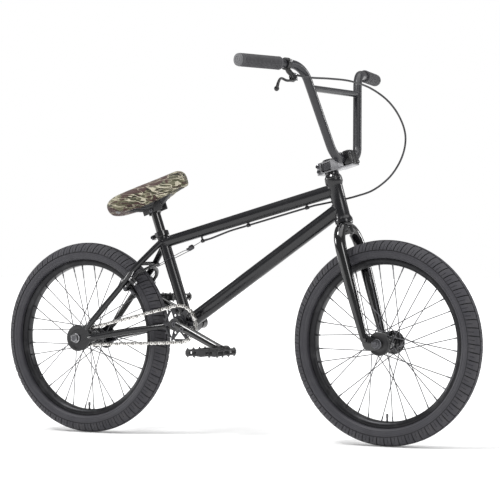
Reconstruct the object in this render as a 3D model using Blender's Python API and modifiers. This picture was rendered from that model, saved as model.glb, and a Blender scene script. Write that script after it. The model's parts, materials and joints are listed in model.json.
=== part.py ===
# A freestyle bicycle with 20 inch wheels, a front-load stem, tall handlebars,
# a cable-pulled rear U-brake and a single-speed chain drive on the right side.
# Metres, X forward, Y to the rider's left, Z up. The origin is on the ground, half
# way between the two wheel axles.
import math

import bmesh
import bpy
from mathutils import Matrix, Vector

# ---- driving dimensions ----
WHEELBASE = 0.900
TYRE_RADIUS = 0.2575
TYRE_WIDTH = 0.059
GAP = 0.0003              # between neighbours that sit against each other
WHEEL_SIDES = 40          # facets round a tyre, rim and inner tube

HEAD_ANGLE = math.radians(74.65)
FORK_OFFSET = 0.0312
CROWN_CLEARANCE = 0.0636  # tyre to the bottom of the head tube
HEAD_TUBE_LENGTH = 0.1146
HEAD_TUBE_RADIUS = 0.0190
SEAT_ANGLE = math.radians(70.96)
SEAT_TUBE_LENGTH = 0.2562
SEAT_TUBE_RADIUS = 0.0150
REAR_CENTRE_CLEARANCE = 0.0627
BB_RISE = 0.0417          # bottom bracket above the axles

TOP_TUBE_RADII = (0.0145, 0.0172)
TOP_TUBE_DROP = 0.0300    # below the top of the seat tube
TOP_TUBE_HEAD_DROP = 0.0275
DOWN_TUBE_RADIUS = 0.0186
DOWN_TUBE_HEAD_RISE = 0.038
STAY_RADIUS = 0.0080
CHAINSTAY_RADIUS = 0.0085
STAY_TYRE_GAP = 0.0062
STAY_TOP_SIDE = 0.0215      # each seatstay's middle, beside the seat tube

STEERER_RADIUS = 0.0143
BEARING_RADIUS = 0.0198
BEARING_DEPTH = 0.0070
CUP_WALL = 0.0026
CUP_LENGTH = 0.014
FORK_LEG_RADIUS = 0.0145
FORK_TIP_RADIUS = 0.0095
FRONT_HUB_WIDTH = 0.100
REAR_HUB_WIDTH = 0.110
DROPOUT_THICKNESS = 0.006
FRONT_AXLE_RADIUS = 0.0048
REAR_AXLE_RADIUS = 0.0070
NUT_LENGTH = 0.0105
NUT_FLANGE_RADIUS = 0.0130

RIM_WIDTH = 0.033
RIM_WALL = 0.0025
BEAD_SEAT = 0.0120        # how far the tyre's section reaches below the rim's edge
RIM_EDGE_DEPTH = TYRE_WIDTH - BEAD_SEAT      # tyre tread to the rim's edge
RIM_INNER_DEPTH = RIM_EDGE_DEPTH + 0.0148    # tyre tread to the rim's inner face
RIM_WELL_DEPTH = RIM_EDGE_DEPTH + 0.0100
TYRE_WALL = 0.0035
TUBE_RADIUS = 0.0170
VALVE_RADIUS = 0.0030
VALVE_LENGTH = 0.0300
SPOKE_COUNT = 36
SPOKE_CROSS = 3
SPOKE_RADIUS = 0.0009
SPOKE_CIRCLE = 0.0255
FLANGE_RADIUS = 0.0290
FLANGE_THICKNESS = 0.0032
HUB_RADIUS = 0.0165
FRONT_FLANGE_Y = 0.0335
REAR_FLANGE_Y = (-0.0240, 0.0335)

BB_SHELL_WIDTH = 0.068
BB_SHELL_RADIUS = 0.0235
BB_BEARING_RADIUS = 0.0205
BB_BEARING_WIDTH = 0.010
SPINDLE_RADIUS = 0.0095
SPINDLE_HALF = 0.0705
CHAIN_LINE = 0.045
CHAIN_PITCH = 0.0127
SPROCKET_TEETH = 24
DRIVER_TEETH = 9
TOOTH_THICKNESS = 0.0030
PLATE_HEIGHT = 0.0078
PLATE_THICKNESS = 0.0021
PLATE_INNER_HALF = 0.0026
ROLLER_RADIUS = 0.0038
CRANK_LENGTH = 0.170
CRANK_ANGLE = math.radians(-22.5)
CRANK_RADIUS = 0.0115
CRANK_BOSS_RADIUS = 0.0165
CRANK_INNER_Y = 0.0515
CRANK_BOSS_WIDTH = 0.0205
CRANK_FLARE = 0.019
PEDAL_AXLE_RADIUS = 0.0065
PEDAL_LENGTH = 0.096
PEDAL_WIDTH = 0.100
PEDAL_HEIGHT = 0.021

POST_RADIUS = 0.0127
POST_STANDOUT = 0.0615
POST_INSERT = 0.0975
POST_BORE_DEPTH = 0.1375
CLAMP_HEIGHT = 0.014
CLAMP_WALL = 0.0040
SADDLE_ANGLE = math.radians(19.5)
SADDLE_LENGTH = 0.2430
SADDLE_WIDTH = 0.128
SADDLE_NOSE_WIDTH = 0.046
SADDLE_HEIGHT = 0.047

BAR_RADIUS = 0.0111
BAR_CLAMP = (0.0484, 0.0, 0.1529)    # forward, side and up from the head tube's foot
BAR_LOWER_CORNER = (BAR_CLAMP[0], 0.0620, BAR_CLAMP[2])
BAR_UPPER_CORNER = (0.0690, 0.1500, 0.3835)
BAR_END = (0.0150, 0.3660, 0.3988)
BAR_LOWER_BEND = 0.050
BAR_UPPER_BEND = 0.062
CROSSBAR_RISE = 0.3276
CROSSBAR_RADIUS = 0.0080
GRIP_LENGTH = 0.140
GRIP_RADIUS = 0.0165
STEM_BOTTOM = 0.1326
STEM_TOP = 0.1619
STEM_HALF_WIDTH = 0.0195
STEM_CLAMP_HALF_WIDTH = 0.0250
STEM_REAR = 0.0330
STEM_FACE = 0.0490
STEM_CAP_FRONT = 0.0745
STEM_CLAMP_HALF_HEIGHT = 0.0190
CONE_TOP = 0.1262
LEVER_STATION = 0.207     # side distance of the lever's clamp on the bar
LEVER_REACH = 0.038       # bar to lever pivot
LEVER_INBOARD = 0.016
CABLE_RADIUS = 0.0025
WIRE_RADIUS = 0.0009

# ---- derived places ----
REAR_AXLE = Vector((-WHEELBASE / 2, 0.0, TYRE_RADIUS))
FRONT_AXLE = Vector((WHEELBASE / 2, 0.0, TYRE_RADIUS))
BB = REAR_AXLE + Vector((TYRE_RADIUS + REAR_CENTRE_CLEARANCE, 0.0, BB_RISE))
SEAT_DIR = Vector((-math.cos(SEAT_ANGLE), 0.0, math.sin(SEAT_ANGLE)))
STEER_DIR = Vector((-math.cos(HEAD_ANGLE), 0.0, math.sin(HEAD_ANGLE)))
STEER_FORWARD = Vector((math.sin(HEAD_ANGLE), 0.0, math.cos(HEAD_ANGLE)))
SIDE = Vector((0.0, 1.0, 0.0))
HEAD_FOOT_HEIGHT = TYRE_RADIUS + CROWN_CLEARANCE
HEAD_FOOT = FRONT_AXLE - STEER_FORWARD * FORK_OFFSET + STEER_DIR * HEAD_FOOT_HEIGHT
SEAT_TOP = BB + SEAT_DIR * SEAT_TUBE_LENGTH
CUP_RADIUS = BEARING_RADIUS + GAP + CUP_WALL

MATERIALS = {
    "frame_paint": ((0.030, 0.030, 0.034), 0.45, 0.3),
    "black_gloss": ((0.020, 0.020, 0.022), 0.20, 0.4),
    "black_matte": ((0.035, 0.035, 0.038), 0.55, 0.2),
    "bright_metal": ((0.62, 0.62, 0.63), 0.28, 1.0),
    "dark_metal": ((0.16, 0.16, 0.17), 0.38, 0.9),
    "stem_grey": ((0.52, 0.52, 0.53), 0.35, 0.9),
    "tyre_rubber": ((0.030, 0.030, 0.032), 0.80, 0.0),
    "grip_rubber": ((0.050, 0.050, 0.052), 0.70, 0.0),
    "black_plastic": ((0.030, 0.030, 0.031), 0.45, 0.0),
    "saddle_cloth": ((0.20, 0.17, 0.12), 0.85, 0.0),
    "cable_skin": ((0.060, 0.060, 0.062), 0.50, 0.0),
}


def clear_scene():
    for old in list(bpy.data.objects):
        bpy.data.objects.remove(old, do_unlink=True)


def new_collection(name):
    collection = bpy.data.collections.new(name)
    bpy.context.scene.collection.children.link(collection)
    return collection


clear_scene()
PARTS = new_collection("bmx_bike")
TOOLS = new_collection("cutters")


def material(name):
    found = bpy.data.materials.get(name)
    if found:
        return found
    colour, roughness, metallic = MATERIALS[name]
    made = bpy.data.materials.new(name)
    made.use_nodes = True
    shader = made.node_tree.nodes["Principled BSDF"]
    shader.inputs["Base Color"].default_value = (*colour, 1.0)
    shader.inputs["Roughness"].default_value = roughness
    shader.inputs["Metallic"].default_value = metallic
    return made


def empty(name, matrix, parent=None):
    made = bpy.data.objects.new(name, None)
    PARTS.objects.link(made)
    made.parent = parent
    made.matrix_local = matrix
    return made


def add_object(name, data, finish, frame):
    made = bpy.data.objects.new(name, data)
    PARTS.objects.link(made)
    made.parent = frame
    data.materials.append(material(finish))
    return made


def finish_mesh(name, shape, finish, frame):
    data = bpy.data.meshes.new(name)
    shape.to_mesh(data)
    shape.free()
    data.shade_smooth()
    data.set_sharp_from_angle(angle=math.radians(40))
    return add_object(name, data, finish, frame)


def axis_matrix(origin, direction):
    """A matrix whose local Z runs along direction."""
    turn = Vector((0.0, 0.0, 1.0)).rotation_difference(Vector(direction).normalized())
    return Matrix.Translation(origin) @ turn.to_matrix().to_4x4()


def turned(name, profile, finish, frame=None, matrix=None, sides=24, ring=True):
    """Turn a profile of (radius, height) points, listed down its outer side."""
    shape = bmesh.new()
    points = [shape.verts.new((radius, 0.0, height)) for radius, height in profile]
    for first, second in zip(points, points[1:]):
        shape.edges.new((first, second))
    if ring:
        shape.edges.new((points[-1], points[0]))
    made = finish_mesh(name, shape, finish, frame)
    if matrix is not None:
        made.matrix_local = matrix
    screw = made.modifiers.new("turn", "SCREW")
    screw.steps = sides
    screw.render_steps = sides
    screw.use_merge_vertices = True
    screw.merge_threshold = 0.00002
    screw.use_smooth_shade = True
    return made


def rod(name, start, end, radius, finish, frame=None, sides=12, end_radius=None):
    """A straight round bar between two points."""
    start = Vector(start)
    end = Vector(end)
    shape = bmesh.new()
    bmesh.ops.create_cone(
        shape, cap_ends=True, segments=sides, radius1=radius,
        radius2=radius if end_radius is None else end_radius, depth=(end - start).length)
    shape.transform(axis_matrix((start + end) / 2, end - start))
    return finish_mesh(name, shape, finish, frame)


def sleeve(name, start, end, outer, inner, finish, frame=None, sides=16):
    """A straight tube wall between two points."""
    start = Vector(start)
    end = Vector(end)
    length = (end - start).length
    profile = [(outer, length), (outer, 0.0), (inner, 0.0), (inner, length)]
    return turned(name, profile, finish, frame, axis_matrix(start, end - start), sides)


def block(name, size, centre, finish, frame=None, bevel=0.0, turn=None):
    """A box with its edges rounded."""
    shape = bmesh.new()
    bmesh.ops.create_cube(shape, size=1.0)
    shape.transform(Matrix.Diagonal((*size, 1.0)))
    made = finish_mesh(name, shape, finish, frame)
    made.matrix_local = Matrix.Translation(centre) @ (turn or Matrix.Identity(4))
    if bevel:
        edge = made.modifiers.new("edge", "BEVEL")
        edge.width = bevel
        edge.segments = 1
    return made


def meshed(curve):
    """Swap a curve object for the mesh that it shows, with its caps welded."""
    bpy.context.view_layer.update()
    seen = curve.evaluated_get(bpy.context.evaluated_depsgraph_get())
    data = bpy.data.meshes.new_from_object(seen)
    shape = bmesh.new()
    shape.from_mesh(data)
    bmesh.ops.remove_doubles(shape, verts=shape.verts, dist=0.00002)
    shape.to_mesh(data)
    shape.free()
    name = curve.name
    curve.name = name + "_line"
    made = bpy.data.objects.new(name, data)
    PARTS.objects.link(made)
    made.parent = curve.parent
    made.matrix_world = curve.matrix_world
    bpy.data.objects.remove(curve, do_unlink=True)
    return made


def pipe(name, lines, radius, finish, frame=None, resolution=4, radii=None, keep=False):
    """Round tubes along one or more lists of points."""
    curve = bpy.data.curves.new(name, "CURVE")
    curve.dimensions = "3D"
    curve.bevel_depth = radius
    curve.bevel_resolution = resolution
    curve.use_fill_caps = True
    for line in lines:
        spline = curve.splines.new("POLY")
        spline.points.add(len(line) - 1)
        for index, point in enumerate(line):
            spline.points[index].co = (*point, 1.0)
            spline.points[index].radius = radii[index] / radius if radii else 1.0
        spline.use_smooth = True
    made = add_object(name, curve, finish, frame)
    return made if keep else meshed(made)


def plate(name, outlines, thickness, finish, frame=None, matrix=None):
    """A flat plate from closed outlines; the outlines inside the first are holes."""
    curve = bpy.data.curves.new(name, "CURVE")
    curve.dimensions = "2D"
    curve.fill_mode = "BOTH"
    curve.extrude = thickness / 2
    for outline in outlines:
        spline = curve.splines.new("POLY")
        spline.points.add(len(outline) - 1)
        for point, place in zip(spline.points, outline):
            point.co = (place[0], place[1], 0.0, 1.0)
        spline.use_cyclic_u = True
    made = add_object(name, curve, finish, frame)
    if matrix is not None:
        made.matrix_local = matrix
    return meshed(made)


def combine(base, operation, tools):
    for tool in tools:
        step = base.modifiers.new(tool.name, "BOOLEAN")
        step.operation = operation
        step.object = tool
        for owner in tool.users_collection:
            owner.objects.unlink(tool)
        TOOLS.objects.link(tool)
        tool.hide_render = True
        tool.display_type = "WIRE"
    return base


def union(base, *tools):
    return combine(base, "UNION", tools)


def cut(base, *tools):
    return combine(base, "DIFFERENCE", tools)


def rounded(points, radii, steps=6):
    """A line through corner points with each inner corner turned into an arc."""
    corners = [Vector(point) for point in points]
    line = [corners[0]]
    for index in range(1, len(corners) - 1):
        corner = corners[index]
        before = (corners[index - 1] - corner).normalized()
        after = (corners[index + 1] - corner).normalized()
        half = before.angle(after) / 2
        radius = radii[index - 1]
        reach = radius / math.tan(half)
        centre = corner + (before + after).normalized() * (radius / math.sin(half))
        first = corner + before * reach - centre
        last = corner + after * reach - centre
        for step in range(steps + 1):
            line.append(centre + first.slerp(last, step / steps) * first.length)
    line.append(corners[-1])
    return line


def smooth_line(points, count):
    """Points read at even steps from a smooth curve through the given points."""
    places = [Vector(point) for point in points]
    places = [places[0] * 2 - places[1]] + places + [places[-1] * 2 - places[-2]]
    fine = []
    for index in range(1, len(places) - 2):
        p0, p1, p2, p3 = places[index - 1:index + 3]
        for step in range(20):
            t = step / 20
            fine.append(0.5 * (2 * p1 + (p2 - p0) * t + (2 * p0 - 5 * p1 + 4 * p2 - p3) * t * t
                               + (3 * p1 - p0 - 3 * p2 + p3) * t * t * t))
    fine.append(places[-2])
    lengths = [0.0]
    for first, second in zip(fine, fine[1:]):
        lengths.append(lengths[-1] + (second - first).length)
    line = []
    index = 0
    for step in range(count):
        target = lengths[-1] * step / (count - 1)
        while index < len(fine) - 2 and lengths[index + 1] < target:
            index += 1
        span = lengths[index + 1] - lengths[index]
        line.append(fine[index].lerp(fine[index + 1], (target - lengths[index]) / span))
    return line


def arc_points(centre, radius, start, end, steps):
    """Points on an arc in a plane, from one angle to another in degrees."""
    spread = [math.radians(start + (end - start) * step / steps) for step in range(steps + 1)]
    return [(centre[0] + radius * math.cos(a), centre[1] + radius * math.sin(a)) for a in spread]


# ---- joint frames ----
WHEEL_TURN = Matrix.Rotation(math.radians(-90), 4, "X")     # local Z to the rider's left
PLATE_TURN = Matrix.Rotation(math.radians(90), 4, "X")      # local Y up, plates stand along X
STEER_TURN = Matrix((STEER_FORWARD, SIDE, STEER_DIR)).transposed().to_4x4()
STEER_MATRIX = Matrix.Translation(HEAD_FOOT) @ STEER_TURN
steering = empty("steering_axis", STEER_MATRIX)
front_wheel = empty(
    "front_wheel_axis",
    STEER_MATRIX.inverted() @ Matrix.Translation(FRONT_AXLE) @ WHEEL_TURN, steering)
rear_wheel = empty("rear_wheel_axis", Matrix.Translation(REAR_AXLE) @ WHEEL_TURN)
crank_axis = empty("crank_axis", Matrix.Translation(BB) @ WHEEL_TURN)


# ---- wheels ----
def wheel_rings(end, frame):
    """The tyre, rim and inner tube of one wheel."""
    section = TYRE_WIDTH / 2
    middle = TYRE_RADIUS - section
    half = RIM_WIDTH / 2
    inside = half - RIM_WALL
    edge = TYRE_RADIUS - RIM_EDGE_DEPTH
    inner = TYRE_RADIUS - RIM_INNER_DEPTH
    well = TYRE_RADIUS - RIM_WELL_DEPTH
    hollow = section - TYRE_WALL
    bead = inside - GAP
    bead_foot = well + GAP

    outer_arc = [(middle + section * math.cos(math.radians(a)),
                  section * math.sin(math.radians(a))) for a in range(120, -121, -30)]
    inner_arc = [(middle + hollow * math.cos(math.radians(a)),
                  hollow * math.sin(math.radians(a))) for a in range(-100, 101, 40)]
    bead_top = edge + 2 * GAP
    profile = [(bead_foot, bead), (bead_top, bead)] + outer_arc
    profile += [(bead_top, -bead), (bead_foot, -bead), (bead_foot, -bead + TYRE_WALL)]
    shoulder = bead_top + TYRE_WALL
    profile += [(shoulder, -bead + TYRE_WALL)] + inner_arc
    profile += [(shoulder, bead - TYRE_WALL), (bead_foot, bead - TYRE_WALL)]
    turned(end + "_tyre", profile, "tyre_rubber", frame, sides=WHEEL_SIDES)

    chamfer = 0.0035
    rim = turned(end + "_rim", [
        (edge, half), (inner + chamfer, half), (inner, half - chamfer),
        (inner, -half + chamfer), (inner + chamfer, -half), (edge, -half),
        (edge, -inside), (well, -inside), (well, inside), (edge, inside)][::-1],
        "black_matte", frame, sides=WHEEL_SIDES)
    hole = rod(end + "_valve_hole", (0, inner - 0.01, 0), (0, well + 0.01, 0),
               VALVE_RADIUS + GAP, "black_matte", frame)
    cut(rim, hole)

    centre = middle + hollow * math.cos(math.radians(20)) - 2 * GAP - TUBE_RADIUS
    tube = turned(end + "_inner_tube", [
        (centre + TUBE_RADIUS * math.cos(math.radians(a)),
         TUBE_RADIUS * math.sin(math.radians(a))) for a in range(90, -270, -60)],
        "tyre_rubber", frame, sides=WHEEL_SIDES)
    stem_top = centre - TUBE_RADIUS + 0.004
    valve = rod(end + "_valve", (0, stem_top - VALVE_LENGTH - 0.008, 0), (0, stem_top, 0),
                VALVE_RADIUS, "tyre_rubber", frame, sides=8)
    union(tube, valve)


def spokes(name, flanges, frame):
    """All the spokes of a wheel, elbowed through their flanges towards the rim."""
    rim_inner = (TYRE_RADIUS - RIM_INNER_DEPTH) * math.cos(math.pi / WHEEL_SIDES)
    per_side = SPOKE_COUNT // 2
    step = 2 * math.pi / SPOKE_COUNT
    lines = []
    for side, flange in enumerate(flanges):
        sign = -1 if flange < 0 else 1
        for index in range(per_side):
            hole = (index * 2 + side + 0.5) * step      # the valve stands between two spokes
            outward = 1 if index % 2 else -1
            lead = SPOKE_CROSS * 2 * math.pi / per_side
            end = hole + outward * lead
            head = flange + sign * outward * (FLANGE_THICKNESS / 2 - SPOKE_RADIUS * 0.3)
            direction = (math.cos(hole), math.sin(hole))
            tip = rim_inner - 2 * GAP
            lines.append([
                (SPOKE_CIRCLE * direction[0], SPOKE_CIRCLE * direction[1], head),
                (tip * math.cos(end), tip * math.sin(end), sign * 0.0035)])
    return pipe(name, lines, SPOKE_RADIUS, "bright_metal", frame, resolution=0)


def front_hub():
    """The front hub shell with both flanges and its spokes."""
    bore = FRONT_AXLE_RADIUS + GAP
    half = FLANGE_THICKNESS / 2
    end = FRONT_FLANGE_Y + 0.0075
    profile = [(0.0135, end), (0.0150, FRONT_FLANGE_Y + half), (FLANGE_RADIUS, FRONT_FLANGE_Y + half),
               (FLANGE_RADIUS, FRONT_FLANGE_Y - half), (HUB_RADIUS, FRONT_FLANGE_Y - half - 0.004)]
    profile += [(radius, -height) for radius, height in profile[::-1]]
    profile += [(bore, -end), (bore, end)]
    hub = turned("front_hub", profile, "black_gloss", front_wheel, sides=18)
    union(hub, spokes("front_spokes", (-FRONT_FLANGE_Y, FRONT_FLANGE_Y), front_wheel))


def rear_hub():
    """The rear hub shell, whose right flange leaves room for the driver."""
    bore = REAR_AXLE_RADIUS + GAP
    half = FLANGE_THICKNESS / 2
    right, left = REAR_FLANGE_Y
    hub = turned("rear_hub", [
        (0.0150, left + 0.0110), (0.0180, left + half), (FLANGE_RADIUS, left + half),
        (FLANGE_RADIUS, left - half), (HUB_RADIUS, left - half - 0.004),
        (HUB_RADIUS, right + half + 0.004), (FLANGE_RADIUS, right + half),
        (FLANGE_RADIUS, right - half), (0.0190, right - half), (0.0170, right - 0.0065),
        (bore, right - 0.0065), (bore, left + 0.0110)],
        "black_gloss", rear_wheel, sides=18)
    union(hub, spokes("rear_spokes", REAR_FLANGE_Y, rear_wheel))


def tooth_outline(teeth, depth):
    """The outline of a chainwheel with blunt teeth."""
    pitch_radius = CHAIN_PITCH / (2 * math.sin(math.pi / teeth))
    root = pitch_radius - ROLLER_RADIUS
    tip = root + depth
    outline = []
    for tooth in range(teeth):
        for radius, share in ((root, -0.30), (tip, -0.10), (tip, 0.10), (root, 0.30)):
            angle = (tooth + share) * 2 * math.pi / teeth
            outline.append((radius * math.cos(angle), radius * math.sin(angle)))
    return outline


def pitch_radius(teeth):
    return CHAIN_PITCH / (2 * math.sin(math.pi / teeth))


def circle(radius, sides, centre=(0.0, 0.0)):
    return arc_points(centre, radius, 0, 360 - 360 / sides, sides - 1)


def driver():
    """The small rear cog and the sleeve that turns in the hub."""
    bore = REAR_AXLE_RADIUS + GAP
    outer = pitch_radius(DRIVER_TEETH) - PLATE_HEIGHT / 2 - 0.0012
    start = REAR_FLANGE_Y[0] - 0.0065 - GAP
    end = -(CHAIN_LINE + 0.0040)
    sleeve_body = turned("driver", [(outer, start), (outer, end), (bore, end), (bore, start)],
                         "dark_metal", rear_wheel, sides=18)
    cog = plate("driver_cog", [tooth_outline(DRIVER_TEETH, 0.0062), circle(outer - 0.002, 18)],
                TOOTH_THICKNESS, "dark_metal", rear_wheel,
                Matrix.Translation((0, 0, -CHAIN_LINE)))
    union(sleeve_body, cog)


def axle_set(name, frame, centre, radius, hub_width, guards):
    """An axle, its two flanged nuts and its hub guards. Local Z is the axle."""
    face = hub_width / 2 + DROPOUT_THICKNESS
    length = face + NUT_LENGTH + 0.0015
    rod(name + "_axle", centre + SIDE * -length, centre + SIDE * length, radius,
        "dark_metal", frame, sides=12)
    for side, sign in (("right", -1), ("left", 1)):
        start = face + GAP
        nut = turned(side + "_" + name + "_nut", [
            (0.0088, start + NUT_LENGTH), (0.0100, start + 0.0040),
            (NUT_FLANGE_RADIUS, start + 0.0026), (NUT_FLANGE_RADIUS, start),
            (radius + GAP, start), (radius + GAP, start + NUT_LENGTH)],
            "dark_metal", frame, sides=12)
        nut.matrix_local = Matrix.Translation(centre) @ axis_matrix((0, 0, 0), SIDE * sign)
    for side, sign, guard_radius, inset, thickness, guard_name in guards:
        outer_face = hub_width / 2 - GAP
        disc = outer_face - inset
        guard = turned(guard_name, [
            (radius + 0.0035, outer_face), (radius + 0.0035, disc), (guard_radius - 0.003, disc),
            (guard_radius, disc - thickness * 0.5), (guard_radius, disc - thickness),
            (radius + GAP, disc - thickness), (radius + GAP, outer_face)],
            "black_plastic", frame, sides=16)
        guard.matrix_local = Matrix.Translation(centre) @ axis_matrix((0, 0, 0), SIDE * sign)


# ---- frame ----
def head_point(rise):
    return HEAD_FOOT + STEER_DIR * rise


def seat_point(rise):
    return BB + SEAT_DIR * rise


STAY_FOOT = REAR_AXLE + Vector((0.035, 0.0, 0.0275))
STAY_HEAD = seat_point(SEAT_TUBE_LENGTH - 0.0260)
STAY_DIR = (STAY_HEAD - STAY_FOOT).normalized()
STAY_FRONT = Vector((STAY_DIR.z, 0.0, -STAY_DIR.x))
BRAKE_RISE = TYRE_RADIUS - RIM_EDGE_DEPTH - 0.0225    # along the seatstay to the brake's pivot
BRAKE_SIDE = TYRE_WIDTH / 2 + STAY_TYRE_GAP + STAY_RADIUS


def stay_point(rise, front, side):
    return STAY_FOOT + STAY_DIR * rise + STAY_FRONT * front + SIDE * side


def dropout_outline(slot_radius):
    """One rear dropout seen from the side, about the axle."""
    fingers = arc_points((0.0, 0.0), 0.0185, 105, 160, 3) + arc_points(
        (0.0, 0.0), 0.0185, 200, 255, 3)
    return fingers + [(0.012, -0.030), (0.026, -0.031), (0.036, -0.018), (0.056, -0.007),
                      (0.056, 0.010), (0.042, 0.012), (0.038, 0.022), (0.050, 0.040),
                      (0.036, 0.040), (0.016, 0.024)]


def build_frame():
    """The welded frame: head tube, main tubes, stays, dropouts, brake bosses, cable guides."""
    paint = "frame_paint"
    top = HEAD_TUBE_LENGTH
    frame = turned("frame", [
        (0.0, top), (CUP_RADIUS, top), (CUP_RADIUS, top - CUP_LENGTH * 0.6),
        (HEAD_TUBE_RADIUS, top - CUP_LENGTH), (HEAD_TUBE_RADIUS, CUP_LENGTH),
        (CUP_RADIUS, CUP_LENGTH * 0.6), (CUP_RADIUS, 0.0), (0.0, 0.0)],
        paint, None, STEER_MATRIX, sides=20, ring=False)
    head_end = head_point(HEAD_TUBE_LENGTH - TOP_TUBE_HEAD_DROP)
    seat_end = seat_point(SEAT_TUBE_LENGTH - TOP_TUBE_DROP)
    top_tube = pipe("top_tube", [[seat_end, head_end]], TOP_TUBE_RADII[1], paint,
                    resolution=6, radii=TOP_TUBE_RADII)
    down_tube = pipe("down_tube", [[BB, head_point(DOWN_TUBE_HEAD_RISE)]], DOWN_TUBE_RADIUS,
                     paint, resolution=5)
    seat_tube = rod("seat_tube", BB, SEAT_TOP, SEAT_TUBE_RADIUS, paint, sides=20)
    shell = rod("bb_shell", BB - SIDE * BB_SHELL_WIDTH / 2, BB + SIDE * BB_SHELL_WIDTH / 2,
                BB_SHELL_RADIUS, paint, sides=24)
    pieces = [top_tube, down_tube, seat_tube, shell]

    drop_y = (REAR_HUB_WIDTH + DROPOUT_THICKNESS) / 2
    chain_y = drop_y + 0.0005
    neck = BRAKE_SIDE
    stay_top = (STAY_HEAD - STAY_FOOT).length - 0.030
    stay_bend = BRAKE_RISE + (stay_top - BRAKE_RISE) * 0.25
    bridge = stay_bend + (stay_top - stay_bend) * 0.3
    bridge_side = neck + (STAY_TOP_SIDE - neck) * 0.3
    for side, sign in (("right", -1), ("left", 1)):
        pieces.append(pipe(side + "_chainstay", [[
            BB + Vector((-0.016, sign * 0.0230, -0.002)),
            BB + Vector((-0.046, sign * 0.0328, -0.0062)),
            BB + Vector((-0.086, sign * (TYRE_WIDTH / 2 + 0.0130), -0.0114)),
            BB + Vector((-0.170, sign * (TYRE_WIDTH / 2 + 0.0205), -0.0222)),
            REAR_AXLE + Vector((0.055, sign * chain_y, 0.0040)),
            REAR_AXLE + Vector((0.041, sign * chain_y, 0.0018))]],
            CHAINSTAY_RADIUS, paint, resolution=2))
        pieces.append(pipe(side + "_seatstay", [[
            stay_point(-0.004, 0, sign * drop_y),
            stay_point(0.030, 0, sign * drop_y),
            stay_point(BRAKE_RISE - 0.03, 0, sign * neck),
            stay_point(stay_bend, 0, sign * neck),
            stay_point(stay_top, 0, sign * STAY_TOP_SIDE),
            stay_point(stay_top + 0.028, 0, sign * 0.0105)]],
            STAY_RADIUS, paint, resolution=2))
        drop = plate(side + "_dropout", [dropout_outline(REAR_AXLE_RADIUS)],
                     DROPOUT_THICKNESS, paint, None,
                     Matrix.Translation(REAR_AXLE + SIDE * sign * drop_y) @ PLATE_TURN)
        pieces.append(drop)
        pieces.append(rod(side + "_brake_boss", stay_point(BRAKE_RISE, 0.0005, sign * neck),
                          stay_point(BRAKE_RISE, 0.0125, sign * neck), 0.0070, paint, sides=12))
    pieces.append(rod("brake_bridge", stay_point(bridge, 0, -bridge_side),
                      stay_point(bridge, 0, bridge_side), 0.0050, paint, sides=8))
    for index, place in enumerate(CABLE_GUIDES):
        guide_top = top_tube_point(place[0], -0.004)
        guide_foot = top_tube_point(place[0], place[1])
        pieces.append(guide(index, guide_top, guide_foot))
    union(frame, *pieces)

    bores = []
    steer_clear = STEERER_RADIUS + 0.0016
    bores.append(turned("head_bore", [
        (0.0, top + 0.01), (BEARING_RADIUS + GAP, top + 0.01),
        (BEARING_RADIUS + GAP, top - BEARING_DEPTH - GAP), (steer_clear, top - BEARING_DEPTH - GAP),
        (steer_clear, BEARING_DEPTH + GAP), (BEARING_RADIUS + GAP, BEARING_DEPTH + GAP),
        (BEARING_RADIUS + GAP, -0.01), (0.0, -0.01)], paint, None, STEER_MATRIX, 20, ring=False))
    bores.append(rod("post_bore", seat_point(SEAT_TUBE_LENGTH - POST_BORE_DEPTH),
                     SEAT_TOP + SEAT_DIR * 0.02, POST_RADIUS + GAP, paint, sides=20))
    half = BB_SHELL_WIDTH / 2
    seat = BB_BEARING_WIDTH + GAP
    shell_matrix = Matrix.Translation(BB) @ WHEEL_TURN
    bores.append(turned("bb_bore", [
        (0.0, half + 0.01), (BB_BEARING_RADIUS + GAP, half + 0.01),
        (BB_BEARING_RADIUS + GAP, half - seat), (0.0165, half - seat),
        (0.0165, -half + seat), (BB_BEARING_RADIUS + GAP, -half + seat),
        (BB_BEARING_RADIUS + GAP, -half - 0.01), (0.0, -half - 0.01)],
        paint, None, shell_matrix, 24, ring=False))
    slot = REAR_AXLE_RADIUS + GAP
    reach = REAR_HUB_WIDTH / 2 + 0.02
    bores.append(rod("axle_slot_end", REAR_AXLE - SIDE * reach, REAR_AXLE + SIDE * reach,
                     slot, paint, sides=12))
    bores.append(block("axle_slot", (0.03, 2 * reach, 2 * slot * math.cos(math.pi / 12)),
                       REAR_AXLE + Vector((-0.015, 0, 0)), paint))
    cut(frame, *bores)


def top_tube_point(ahead, below):
    """A point under the top tube: distance ahead of its seat-tube end, depth below it."""
    start = seat_point(SEAT_TUBE_LENGTH - TOP_TUBE_DROP)
    line = head_point(HEAD_TUBE_LENGTH - TOP_TUBE_HEAD_DROP) - start
    direction = line.normalized()
    share = ahead / line.length
    radius = TOP_TUBE_RADII[0] + (TOP_TUBE_RADII[1] - TOP_TUBE_RADII[0]) * share
    down = Vector((direction.z, 0.0, -direction.x))
    return start + direction * ahead + down * (radius + below)


CABLE_GUIDES = ((0.117, 0.0105), (0.262, 0.0058), (0.440, 0.0058))


def guide(index, top, foot):
    """A cable guide: a short post under the top tube that carries a ring for the cable."""
    line = top_tube_point(0.3, 0.0) - top_tube_point(0.2, 0.0)
    along = line.normalized()
    post = rod("guide_post_%d" % index, top, foot + (foot - top).normalized() * 0.0012, 0.0024,
               "frame_paint", sides=6)
    if index == 0:
        stop = rod("cable_stop", foot - along * 0.0035, foot + along * 0.0035, 0.0048,
                   "frame_paint", sides=10)
    else:
        stop = sleeve("guide_ring_%d" % index, foot - along * 0.004, foot + along * 0.004,
                      CABLE_RADIUS + GAP + 0.0016, CABLE_RADIUS + GAP, "frame_paint", sides=10)
    return union(post, stop) if index == 0 else guide_with_bore(index, post, stop, foot, along)


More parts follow.
